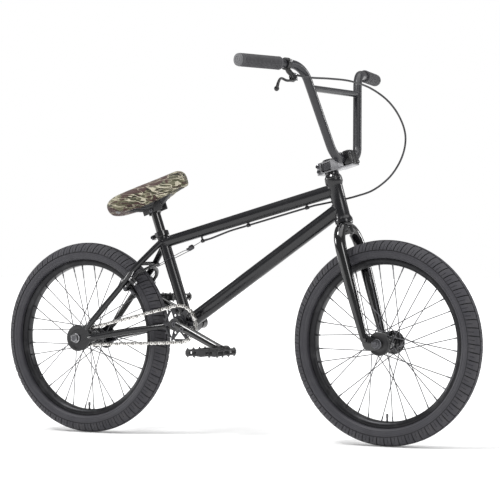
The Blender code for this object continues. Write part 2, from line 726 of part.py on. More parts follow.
def guide_with_bore(index, post, ring, foot, along):
    union(post, ring)
    bore = rod("guide_bore_%d" % index, foot - along * 0.008, foot + along * 0.008,
               CABLE_RADIUS + GAP, "frame_paint", sides=10)
    return cut(post, bore)


def bearings():
    """The two headset bearings and the two bottom bracket bearings."""
    inner = STEERER_RADIUS + GAP
    top = HEAD_TUBE_LENGTH
    for name, low, high in (("lower_headset_bearing", 0.0, BEARING_DEPTH),
                            ("upper_headset_bearing", top - BEARING_DEPTH, top)):
        turned(name, [(BEARING_RADIUS, high), (BEARING_RADIUS, low), (inner, low), (inner, high)],
               "bright_metal", None, STEER_MATRIX, 20)
    half = BB_SHELL_WIDTH / 2
    for name, sign in (("right_bb_bearing", -1), ("left_bb_bearing", 1)):
        low, high = sorted((sign * half, sign * (half - BB_BEARING_WIDTH)))
        turned(name, [(BB_BEARING_RADIUS, high), (BB_BEARING_RADIUS, low),
                      (SPINDLE_RADIUS + GAP, low), (SPINDLE_RADIUS + GAP, high)],
               "bright_metal", None, Matrix.Translation(BB) @ WHEEL_TURN, 20)


def seat_clamp():
    """The split collar on top of the seat tube, and its bolt behind."""
    outer = SEAT_TUBE_RADIUS + GAP + CLAMP_WALL
    matrix = axis_matrix(SEAT_TOP - SEAT_DIR * CLAMP_HEIGHT, SEAT_DIR)
    collar = turned("seat_clamp", [
        (outer - 0.001, CLAMP_HEIGHT), (outer, CLAMP_HEIGHT - 0.002), (outer, 0.0),
        (SEAT_TUBE_RADIUS + GAP, 0.0), (SEAT_TUBE_RADIUS + GAP, CLAMP_HEIGHT)],
        "black_gloss", None, matrix, 20)
    middle = SEAT_TOP - SEAT_DIR * CLAMP_HEIGHT / 2
    back = Vector((-SEAT_DIR.z, 0.0, SEAT_DIR.x))
    turn = Matrix((back, SIDE, SEAT_DIR)).transposed().to_4x4()
    ears = block("clamp_ears", (0.013, 0.016, CLAMP_HEIGHT - 0.002),
                 middle + back * (outer + 0.0040), "black_gloss", None, 0.0015, turn)
    slit = block("clamp_slit", (0.030, 0.002, CLAMP_HEIGHT * 2),
                 middle + back * (outer + 0.006), "black_gloss", None, 0.0, turn)
    core = rod("clamp_core", SEAT_TOP - SEAT_DIR * 0.03, SEAT_TOP + SEAT_DIR * 0.01,
               SEAT_TUBE_RADIUS + GAP, "black_gloss", sides=20)
    bolt_place = middle + back * (outer + 0.0055)
    hole = rod("clamp_hole", bolt_place - SIDE * 0.02, bolt_place + SIDE * 0.02, 0.0028 + GAP,
               "black_gloss", sides=10)
    union(collar, ears)
    cut(collar, slit, core, hole)
    shank = rod("seat_clamp_bolt", bolt_place - SIDE * 0.0085, bolt_place + SIDE * 0.0095, 0.0028,
                "dark_metal", sides=10)
    head = rod("clamp_bolt_head", bolt_place - SIDE * 0.0133, bolt_place - SIDE * 0.0083, 0.0048,
               "dark_metal", sides=12)
    union(shank, head)


# ---- drive ----
def belt_outline(reach):
    """A loop round both chainwheels at a distance outside their pitch circles."""
    big = pitch_radius(SPROCKET_TEETH) + reach
    small = pitch_radius(DRIVER_TEETH) + reach
    line = Vector((REAR_AXLE.x - BB.x, REAR_AXLE.z - BB.z))
    lean = math.degrees(math.atan2(line.y, line.x))
    open_angle = math.degrees(math.acos((big - small) / line.length))
    front = arc_points((BB.x, BB.z), big, lean + open_angle - 360, lean - open_angle, 20)
    rear = arc_points((REAR_AXLE.x, REAR_AXLE.z), small, lean - open_angle, lean + open_angle, 8)
    return front + rear


def chain():
    """The chain: two rows of side plates, joined by the rollers of its straight runs."""
    rows = []
    for sign, name in ((-1, "chain"), (1, "chain_inner_row")):
        side = -CHAIN_LINE + sign * (PLATE_INNER_HALF + PLATE_THICKNESS / 2)
        rows.append(plate(name, [belt_outline(PLATE_HEIGHT / 2), belt_outline(-PLATE_HEIGHT / 2)],
                          PLATE_THICKNESS, "bright_metal", None,
                          Matrix.Translation((0, side, 0)) @ PLATE_TURN))
    outline = [Vector((x, -CHAIN_LINE, z)) for x, z in belt_outline(0.0)]
    runs = ((outline[20], outline[21]), (outline[-1], outline[0]))
    half = PLATE_INNER_HALF + PLATE_THICKNESS * 0.5
    rollers = []
    for run, (first, last) in enumerate(runs):
        length = (last - first).length
        count = int(length / (2 * CHAIN_PITCH)) - 1
        for index in range(1, count + 1):
            place = first.lerp(last, index / (count + 1))
            rollers.append([place - SIDE * half, place + SIDE * half])
    bridge = pipe("chain_rollers", rollers, 0.0024, "bright_metal", None, resolution=1)
    union(rows[0], rows[1], bridge)


def sprocket():
    """The front chainwheel with six windows round its boss."""
    outline = tooth_outline(SPROCKET_TEETH, 0.0062)
    ring_inner = pitch_radius(SPROCKET_TEETH) - ROLLER_RADIUS - 0.0050
    boss = 0.0165
    holes = []
    for window in range(6):
        start = window * 60
        holes.append(arc_points((0, 0), ring_inner, start + 9, start + 51, 4) + [
            ((boss + 0.003) * math.cos(math.radians(start + 30)),
             (boss + 0.003) * math.sin(math.radians(start + 30)))])
    centre = circle(SPINDLE_RADIUS + GAP, 20)
    wheel = plate("sprocket", [outline, centre] + holes, TOOTH_THICKNESS, "black_matte", crank_axis,
                  Matrix.Translation((0, 0, -CHAIN_LINE)))
    low = -(CRANK_INNER_Y - GAP)
    high = -(CHAIN_LINE - TOOTH_THICKNESS / 2 - 0.0015)
    collar = turned("sprocket_boss", [(boss, high), (boss, low), (SPINDLE_RADIUS + GAP, low),
                                      (SPINDLE_RADIUS + GAP, high)],
                    "black_matte", crank_axis, sides=20)
    bolt_place = crank_point(0.030)
    hole = rod("sprocket_bolt_hole", bolt_place + Vector((0, 0, -0.06)),
               bolt_place + Vector((0, 0, -0.03)), 0.0040 + GAP, "black_matte", crank_axis, 10)
    pad_half = TOOTH_THICKNESS / 2 - GAP
    pad = rod("sprocket_bolt_pad", bolt_place + Vector((0, 0, -CHAIN_LINE - pad_half)),
              bolt_place + Vector((0, 0, -CHAIN_LINE + pad_half)), 0.0085,
              "black_matte", crank_axis, 14)
    union(wheel, collar, pad)
    cut(wheel, hole)


def crank_point(distance, sign=1):
    """A point along the right crank (or the left one, with sign -1), in the crank's frame."""
    angle = -CRANK_ANGLE
    return Vector((math.cos(angle), math.sin(angle), 0.0)) * distance * sign


def cranks():
    """The spindle, both crank arms and the bolt that drives the sprocket."""
    rod("crank_spindle", (0, 0, -SPINDLE_HALF), (0, 0, SPINDLE_HALF), SPINDLE_RADIUS,
        "dark_metal", crank_axis, sides=20)
    middle = CRANK_INNER_Y + CRANK_BOSS_WIDTH / 2
    for side, sign in (("right", 1), ("left", -1)):
        out = -sign
        arm = pipe(side + "_crank_arm", [[
            crank_point(0.004, sign) + Vector((0, 0, out * (middle + 0.0015))),
            crank_point(0.035, sign) + Vector((0, 0, out * (middle + 0.0030))),
            crank_point(CRANK_LENGTH - 0.03, sign) + Vector((0, 0, out * (middle + CRANK_FLARE))),
            crank_point(CRANK_LENGTH - 0.004, sign)
            + Vector((0, 0, out * (middle + CRANK_FLARE)))]],
            CRANK_RADIUS, "black_gloss", crank_axis, resolution=4)
        boss = rod(side + "_crank_boss", (0, 0, out * CRANK_INNER_Y),
                   (0, 0, out * (CRANK_INNER_Y + CRANK_BOSS_WIDTH)), CRANK_BOSS_RADIUS,
                   "black_gloss", crank_axis, sides=20)
        end = crank_point(CRANK_LENGTH, sign)
        end_half = CRANK_RADIUS + 0.0005
        foot = rod(side + "_crank_end",
                   end + Vector((0, 0, out * (middle + CRANK_FLARE - end_half))),
                   end + Vector((0, 0, out * (middle + CRANK_FLARE + end_half))),
                   0.0135, "black_gloss", crank_axis, sides=16)
        bores = [
            rod(side + "_spindle_bore", (0, 0, out * 0.04), (0, 0, out * 0.09),
                SPINDLE_RADIUS + GAP, "black_gloss", crank_axis, 20),
            rod(side + "_pedal_bore", end + Vector((0, 0, out * 0.06)),
                end + Vector((0, 0, out * 0.12)), PEDAL_AXLE_RADIUS + GAP,
                "black_gloss", crank_axis, 12)]
        union(arm, boss, foot)
        cut(arm, *bores)
    place = crank_point(0.030)
    inner = -(CHAIN_LINE - TOOTH_THICKNESS / 2 - 0.0018)
    outer = -(middle + 0.0030 + CRANK_RADIUS + 0.0022)
    bolt = rod("sprocket_bolt", place + Vector((0, 0, inner)), place + Vector((0, 0, outer)),
               0.0040, "dark_metal", crank_axis, sides=10)
    head = rod("sprocket_bolt_head", place + Vector((0, 0, outer + 0.0020)),
               place + Vector((0, 0, outer - 0.0030)), 0.0062, "dark_metal", crank_axis, sides=12)
    union(bolt, head)
    arm_hole = rod("crank_bolt_hole", place + Vector((0, 0, -0.04)),
                   place + Vector((0, 0, outer + 0.0010)), 0.0040 + GAP,
                   "black_gloss", crank_axis, 10)
    head_seat = rod("crank_bolt_seat", place + Vector((0, 0, outer + 0.0020 + GAP)),
                    place + Vector((0, 0, outer - 0.01)), 0.0062 + GAP,
                    "black_gloss", crank_axis, 12)
    cut(bpy.data.objects["right_crank_arm"], arm_hole, head_seat)


def pedals():
    """Both platform pedals on their axles."""
    middle = CRANK_INNER_Y + CRANK_BOSS_WIDTH / 2
    arm_outer = middle + CRANK_FLARE + CRANK_RADIUS + 0.0005
    for side, sign in (("right", 1), ("left", -1)):
        out = -sign
        frame = empty(side + "_pedal_axis", Matrix.Translation(crank_point(CRANK_LENGTH, sign)),
                      crank_axis)
        body_start = arm_outer + 0.0045
        body_end = body_start + PEDAL_WIDTH
        rod(side + "_pedal_axle", (0, 0, out * (arm_outer - 0.021)), (0, 0, out * (body_end - 0.006)),
            PEDAL_AXLE_RADIUS, "dark_metal", frame, sides=12)
        collar = rod(side + "_pedal_flats", (0, 0, out * (arm_outer + GAP)),
                     (0, 0, out * (body_start - GAP)), 0.0092, "dark_metal", frame, sides=12)
        union(bpy.data.objects[side + "_pedal_axle"], collar)
        centre = out * (body_start + PEDAL_WIDTH / 2)
        body = block(side + "_pedal", (PEDAL_LENGTH, PEDAL_HEIGHT, PEDAL_WIDTH), (0, 0, centre),
                     "black_plastic", frame, 0.006)
        windows = []
        for row in (-1, 1):
            for cell in (-1, 1):
                windows.append(block(
                    "%s_pedal_window_%d_%d" % (side, row, cell),
                    (0.022, PEDAL_HEIGHT * 2, 0.034),
                    (row * 0.0285, 0, centre + cell * 0.0215), "black_plastic", frame))
        bore = rod(side + "_pedal_body_bore", (0, 0, out * (body_start - 0.01)),
                   (0, 0, out * (body_end - 0.006 + GAP)), PEDAL_AXLE_RADIUS + GAP,
                   "black_plastic", frame, 12)
        cut(body, *windows, bore)


# ---- steering ----
def fork():
    """The fork: steerer, crown, two tapered legs and their dropouts."""
    paint = "black_gloss"
    leg_y = FRONT_HUB_WIDTH / 2 + 0.0045
    crown = -GAP
    axle_drop = -HEAD_FOOT_HEIGHT
    steerer_top = STEM_TOP - 0.0010
    frame = turned("fork", [
        (0.0, steerer_top), (STEERER_RADIUS, steerer_top), (STEERER_RADIUS, crown),
        (CUP_RADIUS - 0.0015, crown), (CUP_RADIUS - 0.0015, crown - 0.004),
        (0.0180, crown - 0.010), (0.0180, crown - 0.030), (0.0, crown - 0.034)],
        paint, steering, sides=20, ring=False)
    pieces = []
    for side, sign in (("right", -1), ("left", 1)):
        line = [(0, sign * 0.012, crown - 0.0120), (0, sign * 0.030, crown - 0.0190),
                (0, sign * 0.0440, crown - 0.0330), (0, sign * (leg_y - 0.0010), crown - 0.056),
                (0, sign * leg_y, crown - 0.095), (0, sign * leg_y, axle_drop + 0.110),
                (0, sign * leg_y, axle_drop + 0.014)]
        thick = FORK_LEG_RADIUS
        pieces.append(pipe(side + "_leg", [line], thick, paint, steering, resolution=4,
                           radii=[thick * 0.9, thick, thick, thick, thick, thick * 0.90,
                                  FORK_TIP_RADIUS]))
        drop_y = FRONT_HUB_WIDTH / 2 + DROPOUT_THICKNESS / 2
        outline = arc_points((FORK_OFFSET, axle_drop), 0.0140, -110, 70, 6)
        outline += [(0.012, axle_drop + 0.022), (0.002, axle_drop + 0.040),
                    (-0.006, axle_drop + 0.030), (-0.0075, axle_drop + 0.006),
                    (-0.002, axle_drop - 0.003), (0.008, axle_drop - 0.009)]
        pieces.append(plate(side + "_fork_dropout", [outline], DROPOUT_THICKNESS, paint, steering,
                            Matrix.Translation((0, sign * drop_y, 0)) @ PLATE_TURN))
    union(frame, *pieces)
    slot = FRONT_AXLE_RADIUS + GAP
    reach = FRONT_HUB_WIDTH / 2 + 0.02
    end = rod("fork_slot_end", (FORK_OFFSET, -reach, axle_drop), (FORK_OFFSET, reach, axle_drop),
              slot, paint, steering, sides=12)
    mouth = block("fork_slot", (2 * slot * math.cos(math.pi / 12), 2 * reach, 0.03),
                  (FORK_OFFSET, 0, axle_drop - 0.015), paint, steering)
    bolt_bore = rod("steerer_bore", (0, 0, steerer_top - 0.045), (0, 0, steerer_top + 0.01),
                    0.0034, paint, steering, sides=10)
    cut(frame, end, mouth, bolt_bore)


def headset():
    """The conical cover over the upper bearing, with the spacer, and the top cap's bolt."""
    low = HEAD_TUBE_LENGTH + GAP
    inner = STEERER_RADIUS + GAP
    turned("headset_cap", [
        (0.0178, STEM_BOTTOM - GAP), (0.0178, CONE_TOP), (0.0186, CONE_TOP - 0.0012),
        (CUP_RADIUS - 0.0004, low + 0.0042), (CUP_RADIUS - 0.0004, low), (inner, low),
        (inner, STEM_BOTTOM - GAP)], "black_gloss", steering, sides=18)
    turned("compression_cap", [
        (0.0, STEM_TOP + 0.0050), (0.0120, STEM_TOP + 0.0050), (0.0165, STEM_TOP + 0.0032),
        (0.0165, STEM_TOP + GAP), (0.0030, STEM_TOP + GAP), (0.0030, STEM_TOP - 0.038),
        (0.0, STEM_TOP - 0.038)], "black_matte", steering, sides=20, ring=False)


def stem():
    """The stem body, its front cap, and the grooves for the bar and the steerer."""
    height = STEM_TOP - STEM_BOTTOM
    middle = (STEM_TOP + STEM_BOTTOM) / 2
    grey = "stem_grey"
    body = block("stem", (STEM_REAR + 0.030, STEM_HALF_WIDTH * 2, height),
                 ((0.030 - STEM_REAR) / 2, 0, middle), grey, steering, 0.0025)
    bar_x, bar_z = BAR_CLAMP[0], BAR_CLAMP[2]
    face = block("stem_face", (STEM_FACE - 0.024, STEM_CLAMP_HALF_WIDTH * 2,
                               STEM_CLAMP_HALF_HEIGHT * 2),
                 ((STEM_FACE + 0.024) / 2 - 0.0006, 0, bar_z), grey, steering, 0.0025)
    union(body, face)
    reach = STEM_CLAMP_HALF_WIDTH + 0.01
    cutters = [
        rod("steerer_hole", (0, 0, STEM_BOTTOM - 0.01), (0, 0, STEM_TOP + 0.01),
            STEERER_RADIUS + GAP, grey, steering, 20),
        rod("bar_hole", (bar_x, -reach, bar_z), (bar_x, reach, bar_z), BAR_RADIUS + GAP,
            grey, steering, 20),
        block("stem_rear_slit", (0.030, 0.0020, height * 2), (-STEM_REAR, 0, middle), grey,
              steering),
        block("right_stem_pocket", (0.020, 0.010, height - 0.0110),
              (0.0215, -STEM_HALF_WIDTH - 0.0005, middle), grey, steering, 0.0015),
        block("left_stem_pocket", (0.020, 0.010, height - 0.0110),
              (0.0215, STEM_HALF_WIDTH + 0.0005, middle), grey, steering, 0.0015)]
    cut(body, *cutters)
    start = STEM_FACE + 0.0020
    cap = block("stem_front_cap", (STEM_CAP_FRONT - start, STEM_CLAMP_HALF_WIDTH * 2,
                                   STEM_CLAMP_HALF_HEIGHT * 2),
                ((STEM_CAP_FRONT + start) / 2, 0, bar_z), "black_matte", steering, 0.0040)
    cap_hole = rod("cap_hole", (bar_x, -reach, bar_z), (bar_x, reach, bar_z), BAR_RADIUS + GAP,
                   grey, steering, 20)
    cut(cap, cap_hole)


def mirrored(point, sign):
    return Vector((point[0], point[1] * sign, point[2]))


def handlebar():
    """The two-piece-height handlebar: one bent tube and its crossbar, with grips and plugs."""
    line = [mirrored(BAR_END, -1), mirrored(BAR_UPPER_CORNER, -1), mirrored(BAR_LOWER_CORNER, -1),
            mirrored(BAR_LOWER_CORNER, 1), mirrored(BAR_UPPER_CORNER, 1), mirrored(BAR_END, 1)]
    bends = [BAR_UPPER_BEND, BAR_LOWER_BEND, BAR_LOWER_BEND, BAR_UPPER_BEND]
    bar = pipe("handlebar", [rounded(line, bends, 5)], BAR_RADIUS, "black_matte", steering,
               resolution=4)
    low = Vector(BAR_LOWER_CORNER)
    high = Vector(BAR_UPPER_CORNER)
    share = (CROSSBAR_RISE - low.z) / (high.z - low.z)
    joint = low.lerp(high, share)
    crossbar = rod("crossbar", mirrored(joint, -1), mirrored(joint, 1), CROSSBAR_RADIUS,
                   "black_matte", steering, sides=12)
    union(bar, crossbar)
    for side, sign in (("right", -1), ("left", 1)):
        end = mirrored(BAR_END, sign)
        inward = (mirrored(BAR_UPPER_CORNER, sign) - end).normalized()
        grip_start = end + inward * 0.0005
        grip_end = end + inward * GRIP_LENGTH
        sleeve(side + "_grip", grip_start, grip_end, GRIP_RADIUS, BAR_RADIUS + GAP,
               "grip_rubber", steering, 16)
        turned(side + "_bar_plug", [
            (0.0, 0.0045), (0.0105, 0.0045), (0.0155, 0.0022), (0.0155, GAP), (0.0, GAP)],
            "black_plastic", steering, axis_matrix(end, -inward), 16, ring=False)


def lever_frame():
    """Where the lever clamps on: local X outward along the bar, local Z away from the lever."""
    end = mirrored(BAR_END, -1)
    corner = mirrored(BAR_UPPER_CORNER, -1)
    outward = (end - corner).normalized()
    place = corner.lerp(end, (LEVER_STATION + corner.y) / (corner.y - end.y))
    up = Vector((0, 0, 1)) - outward * outward.z
    up.normalize()
    return Matrix.Translation(place) @ Matrix((outward, up.cross(outward), up)).transposed().to_4x4()


def lever():
    """The brake lever, its bracket and its pivot bolt."""
    frame = empty("lever_clamp", lever_frame(), steering)
    pivot_place = Vector((-LEVER_INBOARD, 0, -LEVER_REACH))
    pivot = empty("lever_axis", Matrix.Translation(pivot_place), frame)
    bracket = sleeve("lever_bracket", (-0.006, 0, 0), (0.006, 0, 0), BAR_RADIUS + GAP + 0.0040,
                     BAR_RADIUS + 2 * GAP, "black_matte", frame, 16)
    body = pipe("bracket_body", [[(0.001, 0, -0.0188), (-0.006, 0, -0.0215),
                                  (-LEVER_INBOARD, 0, -0.0300)]],
                0.0062, "black_matte", frame, resolution=3)
    yoke = block("bracket_yoke", (0.017, 0.0165, 0.016),
                 (-LEVER_INBOARD, 0, -LEVER_REACH + 0.0015), "black_matte", frame, 0.003)
    throat = block("bracket_throat", (0.040, 0.0065 + 2 * GAP, 0.0185),
                   (-LEVER_INBOARD + 0.0110, 0, -LEVER_REACH - 0.0010), "black_matte", frame)
    barrel = rod("barrel_adjuster", (-0.008, 0, -0.0235), (-0.0275, 0, -0.0265), 0.0038,
                 "bright_metal", frame, 10)
    pin_hole = rod("pin_hole", pivot_place - SIDE * 0.02, pivot_place + SIDE * 0.02,
                   0.0022 + GAP, "black_matte", frame, 10)
    cable_seat = rod("cable_seat", (-0.0200, 0, -0.02535), (-0.040, 0, -0.0284),
                     CABLE_RADIUS + GAP, "black_matte", frame, 10)
    union(bracket, body, yoke, barrel)
    cut(bracket, throat, pin_hole, cable_seat)
    blade = pipe("brake_lever", [[(0, 0, 0), (0.012, 0, -0.0045), (0.027, 0, -0.0055),
                                  (0.044, 0, -0.0010), (0.055, 0, -0.009), (0.0655, 0, -0.025)]],
                 0.0032, "black_matte", pivot, resolution=3,
                 radii=[0.0032, 0.0032, 0.0030, 0.0032, 0.0030, 0.0030])
    tip_shape = bmesh.new()
    bmesh.ops.create_icosphere(tip_shape, subdivisions=2, radius=0.0062)
    tip_shape.transform(Matrix.Translation((0.0680, 0, -0.0285)))
    tip = finish_mesh("lever_tip", tip_shape, "black_matte", pivot)
    hub = rod("lever_hub", (0, -0.0032, 0), (0, 0.0032, 0), 0.0062, "black_matte", pivot, 14)
    union(blade, tip, hub)
    cut(blade, rod("lever_pin_hole", (0, -0.01, 0), (0, 0.01, 0), 0.0022 + GAP,
                   "black_matte", pivot, 10))
    pin = rod("lever_pivot", pivot_place - SIDE * 0.0092, pivot_place + SIDE * 0.0100, 0.0022,
              "dark_metal", frame, 10)
    head = rod("lever_pivot_head", pivot_place - SIDE * 0.0112,
               pivot_place - SIDE * (0.00825 + GAP), 0.0040, "dark_metal", frame, 12)
    union(pin, head)


# ---- brake ----
ARM_NEAR = 0.0135        # front faces of the two crossing arms, ahead of the stays
ARM_THICKNESS = 0.0065
ARM_END_RISE = 0.056
ARM_END_SIDE = 0.022


def brake():
    """The two crossing brake arms with their pads and pivot bolts."""
    end_rise = BRAKE_RISE + ARM_END_RISE
    for side, sign, layer in (("right", -1, 0), ("left", 1, 1)):
        pivot = stay_point(BRAKE_RISE, 0, sign * BRAKE_SIDE)
        frame = empty(side + "_brake_axis", Matrix.Translation(pivot), None)
        low = ARM_NEAR + layer * (ARM_THICKNESS + 0.0012)
        front = low + ARM_THICKNESS / 2

        def place(rise, inward, ahead):
            return (STAY_DIR * rise + STAY_FRONT * ahead - SIDE * sign * inward)

        base = STAY_FOOT - REAR_AXLE + STAY_FRONT * front
        lean = base.dot(STAY_DIR)
        pad_radius = TYRE_RADIUS - (RIM_EDGE_DEPTH + RIM_INNER_DEPTH) / 2
        pad_rise = math.sqrt(lean * lean - base.length_squared + pad_radius ** 2) - lean
        pad_up = (base + STAY_DIR * pad_rise).normalized()
        pad_along = SIDE.cross(pad_up)
        pad_rise -= BRAKE_RISE
        hub_end = ARM_NEAR + 2 * ARM_THICKNESS + 0.0012
        arm = rod(side + "_brake_arm", place(0, 0, ARM_NEAR - 0.0007), place(0, 0, hub_end),
                  0.0088, "black_matte", frame, 16)
        reach_side = BRAKE_SIDE + ARM_END_SIDE
        upper = pipe(side + "_arm_upper", [[
            place(0, 0, front), place(0.022, 0.004, front),
            place(0.040, 0.020, front), place(0.052, reach_side - 0.020, front),
            place(ARM_END_RISE, reach_side, front)]],
            ARM_THICKNESS / 2, "black_matte", frame, resolution=3)
        lower = pipe(side + "_arm_lower", [[
            place(0, 0, front), place(-0.014, -0.003, front), place(pad_rise, -0.0015, front)]],
            ARM_THICKNESS / 2, "black_matte", frame, resolution=3)
        eye = rod(side + "_pad_eye", place(pad_rise, 0.0035, front), place(pad_rise, -0.0065, front),
                  0.0068, "black_matte", frame, 12)
        anchor = rod(side + "_cable_anchor", place(ARM_END_RISE, reach_side, low - 0.0010),
                     place(ARM_END_RISE, reach_side, low + ARM_THICKNESS + 0.0010), 0.0055,
                     "black_matte", frame, 12)
        pin_hole = rod(side + "_arm_hole", place(0, 0, 0.010), place(0, 0, 0.06), 0.0034 + GAP,
                       "black_matte", frame, 12)
        union(arm, upper, lower, anchor, eye)
        cut(arm, pin_hole)
        bolt = rod(side + "_brake_bolt", place(0, 0, ARM_NEAR - 0.0008), place(0, 0, hub_end + 0.0010),
                   0.0034, "bright_metal", frame, 12)
        head = rod(side + "_brake_bolt_head", place(0, 0, hub_end + GAP),
                   place(0, 0, hub_end + 0.0048), 0.0068, "bright_metal", frame, 12)
        union(bolt, head)
        pad_in = BRAKE_SIDE - RIM_WIDTH / 2 - PAD_GAP
        pad = block(side + "_brake_pad", (0.0085, 0.044, 0.0095),
                    place(pad_rise, pad_in - 0.00425, front), "tyre_rubber", frame, 0.002,
                    Matrix((SIDE, pad_along, pad_up)).transposed().to_4x4())
        stud = rod(side + "_pad_stud", place(pad_rise, pad_in - 0.006, front),
                   place(pad_rise, -0.0095, front), 0.0030, "tyre_rubber", frame, 8)
        union(pad, stud)
        stud_hole = rod(side + "_stud_hole", place(pad_rise, pad_in - 0.006, front),
                        place(pad_rise, -0.02, front), 0.0030 + GAP, "black_matte", frame, 8)
        cut(arm, stud_hole)


PAD_GAP = 0.0030


# ---- seat ----
def seat():
    """The seatpost, the saddle's plastic base and its padded cover."""
    top = SEAT_TUBE_LENGTH + POST_STANDOUT
    post = rod("seatpost", seat_point(SEAT_TUBE_LENGTH - POST_INSERT), seat_point(top),
               POST_RADIUS, "black_gloss", None, 20)
    saddle_origin = seat_point(top)
    head = rod("post_head", saddle_origin - SIDE * 0.0105, saddle_origin + SIDE * 0.0105, 0.0150,
               "black_gloss", None, 20)
    union(post, head)
    forward = Vector((math.cos(SADDLE_ANGLE), 0, math.sin(SADDLE_ANGLE)))
    up = Vector((-forward.z, 0, forward.x))
    turn = Matrix((forward, SIDE, up)).transposed().to_4x4()
    frame = empty("saddle_axis", Matrix.Translation(saddle_origin) @ turn)
    saddle_rise = 0.0200
    back = -0.1220

    pad = saddle_solid("saddle_pad", frame, "saddle_cloth", back, SADDLE_LENGTH,
                       SADDLE_WIDTH, SADDLE_NOSE_WIDTH, saddle_rise + 0.0062, SADDLE_HEIGHT)
    base = saddle_solid("saddle_base", frame, "black_plastic", back + 0.012,
                        SADDLE_LENGTH - 0.024, SADDLE_WIDTH - 0.024, SADDLE_NOSE_WIDTH - 0.014,
                        saddle_rise, 0.0058)
    keel = block("saddle_keel", (0.088, 0.0330, 0.030), (0.004, 0, 0.0090), "black_plastic",
                 frame, 0.004)
    head_room = rod("keel_room", (0, -0.0130, 0), (0, 0.0130, 0), 0.0153, "black_plastic",
                    frame, 20)
    slot_room = block("keel_slot", (0.0306, 2 * (POST_RADIUS + GAP), 0.030), (0, 0, -0.0150), "black_plastic",
                      frame)
    union(base, keel)
    cut(base, head_room, slot_room)
    return pad


def saddle_solid(name, frame, finish, back, length, width, nose, rise, height):
    """A saddle-shaped solid: wide behind, narrowing to a blunt nose, crowned on top."""
    shape = bmesh.new()
    bmesh.ops.create_cube(shape, size=1.0)
    along = [edge for edge in shape.edges if abs(edge.verts[0].co.x - edge.verts[1].co.x) > 0.5]
    bmesh.ops.subdivide_edges(shape, edges=along, cuts=9)
    across = [edge for edge in shape.edges if abs(edge.verts[0].co.y - edge.verts[1].co.y) > 0.5]
    bmesh.ops.subdivide_edges(shape, edges=across, cuts=3)
    for vert in shape.verts:
        share = vert.co.x + 0.5
        taper = 0.5 - 0.5 * math.cos(math.pi * min(1.0, max(0.0, (share - 0.12) / 0.58)))
        half = (width + (nose - width) * taper) / 2
        ends = math.sqrt(max(0.0, 1 - max(0.0, (0.20 - share) / 0.20, (share - 0.90) / 0.10) ** 2
                             * 0.75))
        side = vert.co.y * 2
        crown = 1 - 0.45 * side * side
        lift = crown if vert.co.z > 0 else 0.0
        vert.co = Vector((back + length * share, side * half * ends,
                          rise + height * lift * (0.55 + 0.45 * ends)))
    made = finish_mesh(name, shape, finish, frame)
    return made


# ---- cables ----
CABLE_ROUTE = (
    (0.3060, -0.1700, 0.9185), (0.3253, -0.1500, 0.9150), (0.3600, -0.1180, 0.9130),
    (0.3905, -0.0700, 0.9088), (0.4101, 0.0000, 0.8954), (0.4354, 0.0500, 0.8647),
    (0.4541, 0.0800, 0.8227), (0.4633, 0.0920, 0.7749), (0.4549, 0.0880, 0.7244),
    (0.4285, 0.0760, 0.6767), (0.3900, 0.0560, 0.6420), (0.3500, 0.0350, 0.6260),
    (0.3100, 0.0270, 0.6170), (0.2750, 0.0130, 0.6095))


def cables():
    """The cable housing, the bare wire with its hanger, and the straddle wire."""
    stop = top_tube_point(*CABLE_GUIDES[0])
    line = top_tube_point(0.3, 0.0) - top_tube_point(0.2, 0.0)
    along = line.normalized()
    places = [Vector(point) for point in CABLE_ROUTE]
    lever_matrix = STEER_MATRIX @ lever_frame()
    first = lever_matrix @ Vector((-0.0205, 0, -0.02543))
    places.insert(0, lever_matrix @ Vector((-0.0320, 0, -0.0274)))
    last_guide = top_tube_point(*CABLE_GUIDES[1])
    places.append(top_tube_point(*CABLE_GUIDES[2]) + along * 0.022)
    route = [first] + smooth_line(places, 40)
    route += smooth_line([last_guide - along * 0.010, last_guide - along * 0.060,
                          stop + along * 0.030, stop + along * (0.0035 + GAP)], 8)
    pipe("brake_cable", [route], CABLE_RADIUS, "cable_skin", None, resolution=2, keep=True)
    hanger = stop + Vector((-0.040, 0, -0.0195))
    start = stop - along * (0.0035 + GAP)
    yoke = block("cable_hanger", (0.010, 0.012, 0.010), hanger, "dark_metal", None, 0.002)
    wire = rod("bare_wire", start, hanger, WIRE_RADIUS, "bright_metal", None, 6)
    union(yoke, wire)
    ends = []
    for sign, layer in ((-1, 1), (1, 0)):
        front = ARM_NEAR + layer * (ARM_THICKNESS + 0.0012) + ARM_THICKNESS + 0.0010
        ends.append(stay_point(BRAKE_RISE + ARM_END_RISE, front + GAP + WIRE_RADIUS,
                               sign * ARM_END_SIDE))
    below = hanger + Vector((-0.0005, 0, -0.0050 - GAP - WIRE_RADIUS))
    line = [ends[0], below + Vector((-0.014, -0.014, -0.0020)), below + Vector((0, -0.004, 0)),
            below + Vector((0, 0.004, 0)), below + Vector((-0.014, 0.014, -0.0020)), ends[1]]
    pipe("straddle_cable", [line], WIRE_RADIUS, "bright_metal", None, resolution=1)


# ---- assembly ----
for wheel_end, wheel_frame in (("front", front_wheel), ("rear", rear_wheel)):
    wheel_rings(wheel_end, wheel_frame)
front_hub()
rear_hub()
driver()
build_frame()
bearings()
seat_clamp()
axle_set("rear", None, REAR_AXLE, REAR_AXLE_RADIUS, REAR_HUB_WIDTH,
         [("right", -1, 0.0355, 0.0006, 0.0024, "rear_hub_guard")])
fork()
axle_set("front", steering, Vector((FORK_OFFSET, 0, -HEAD_FOOT_HEIGHT)), FRONT_AXLE_RADIUS,
         FRONT_HUB_WIDTH, [("right", -1, 0.0300, 0.0052, 0.0030, "right_front_guard"),
                           ("left", 1, 0.0300, 0.0052, 0.0030, "left_front_guard")])
headset()
stem()
handlebar()
lever()
chain()
sprocket()
cranks()
pedals()
brake()
seat()
cables()
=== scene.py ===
import json
import math

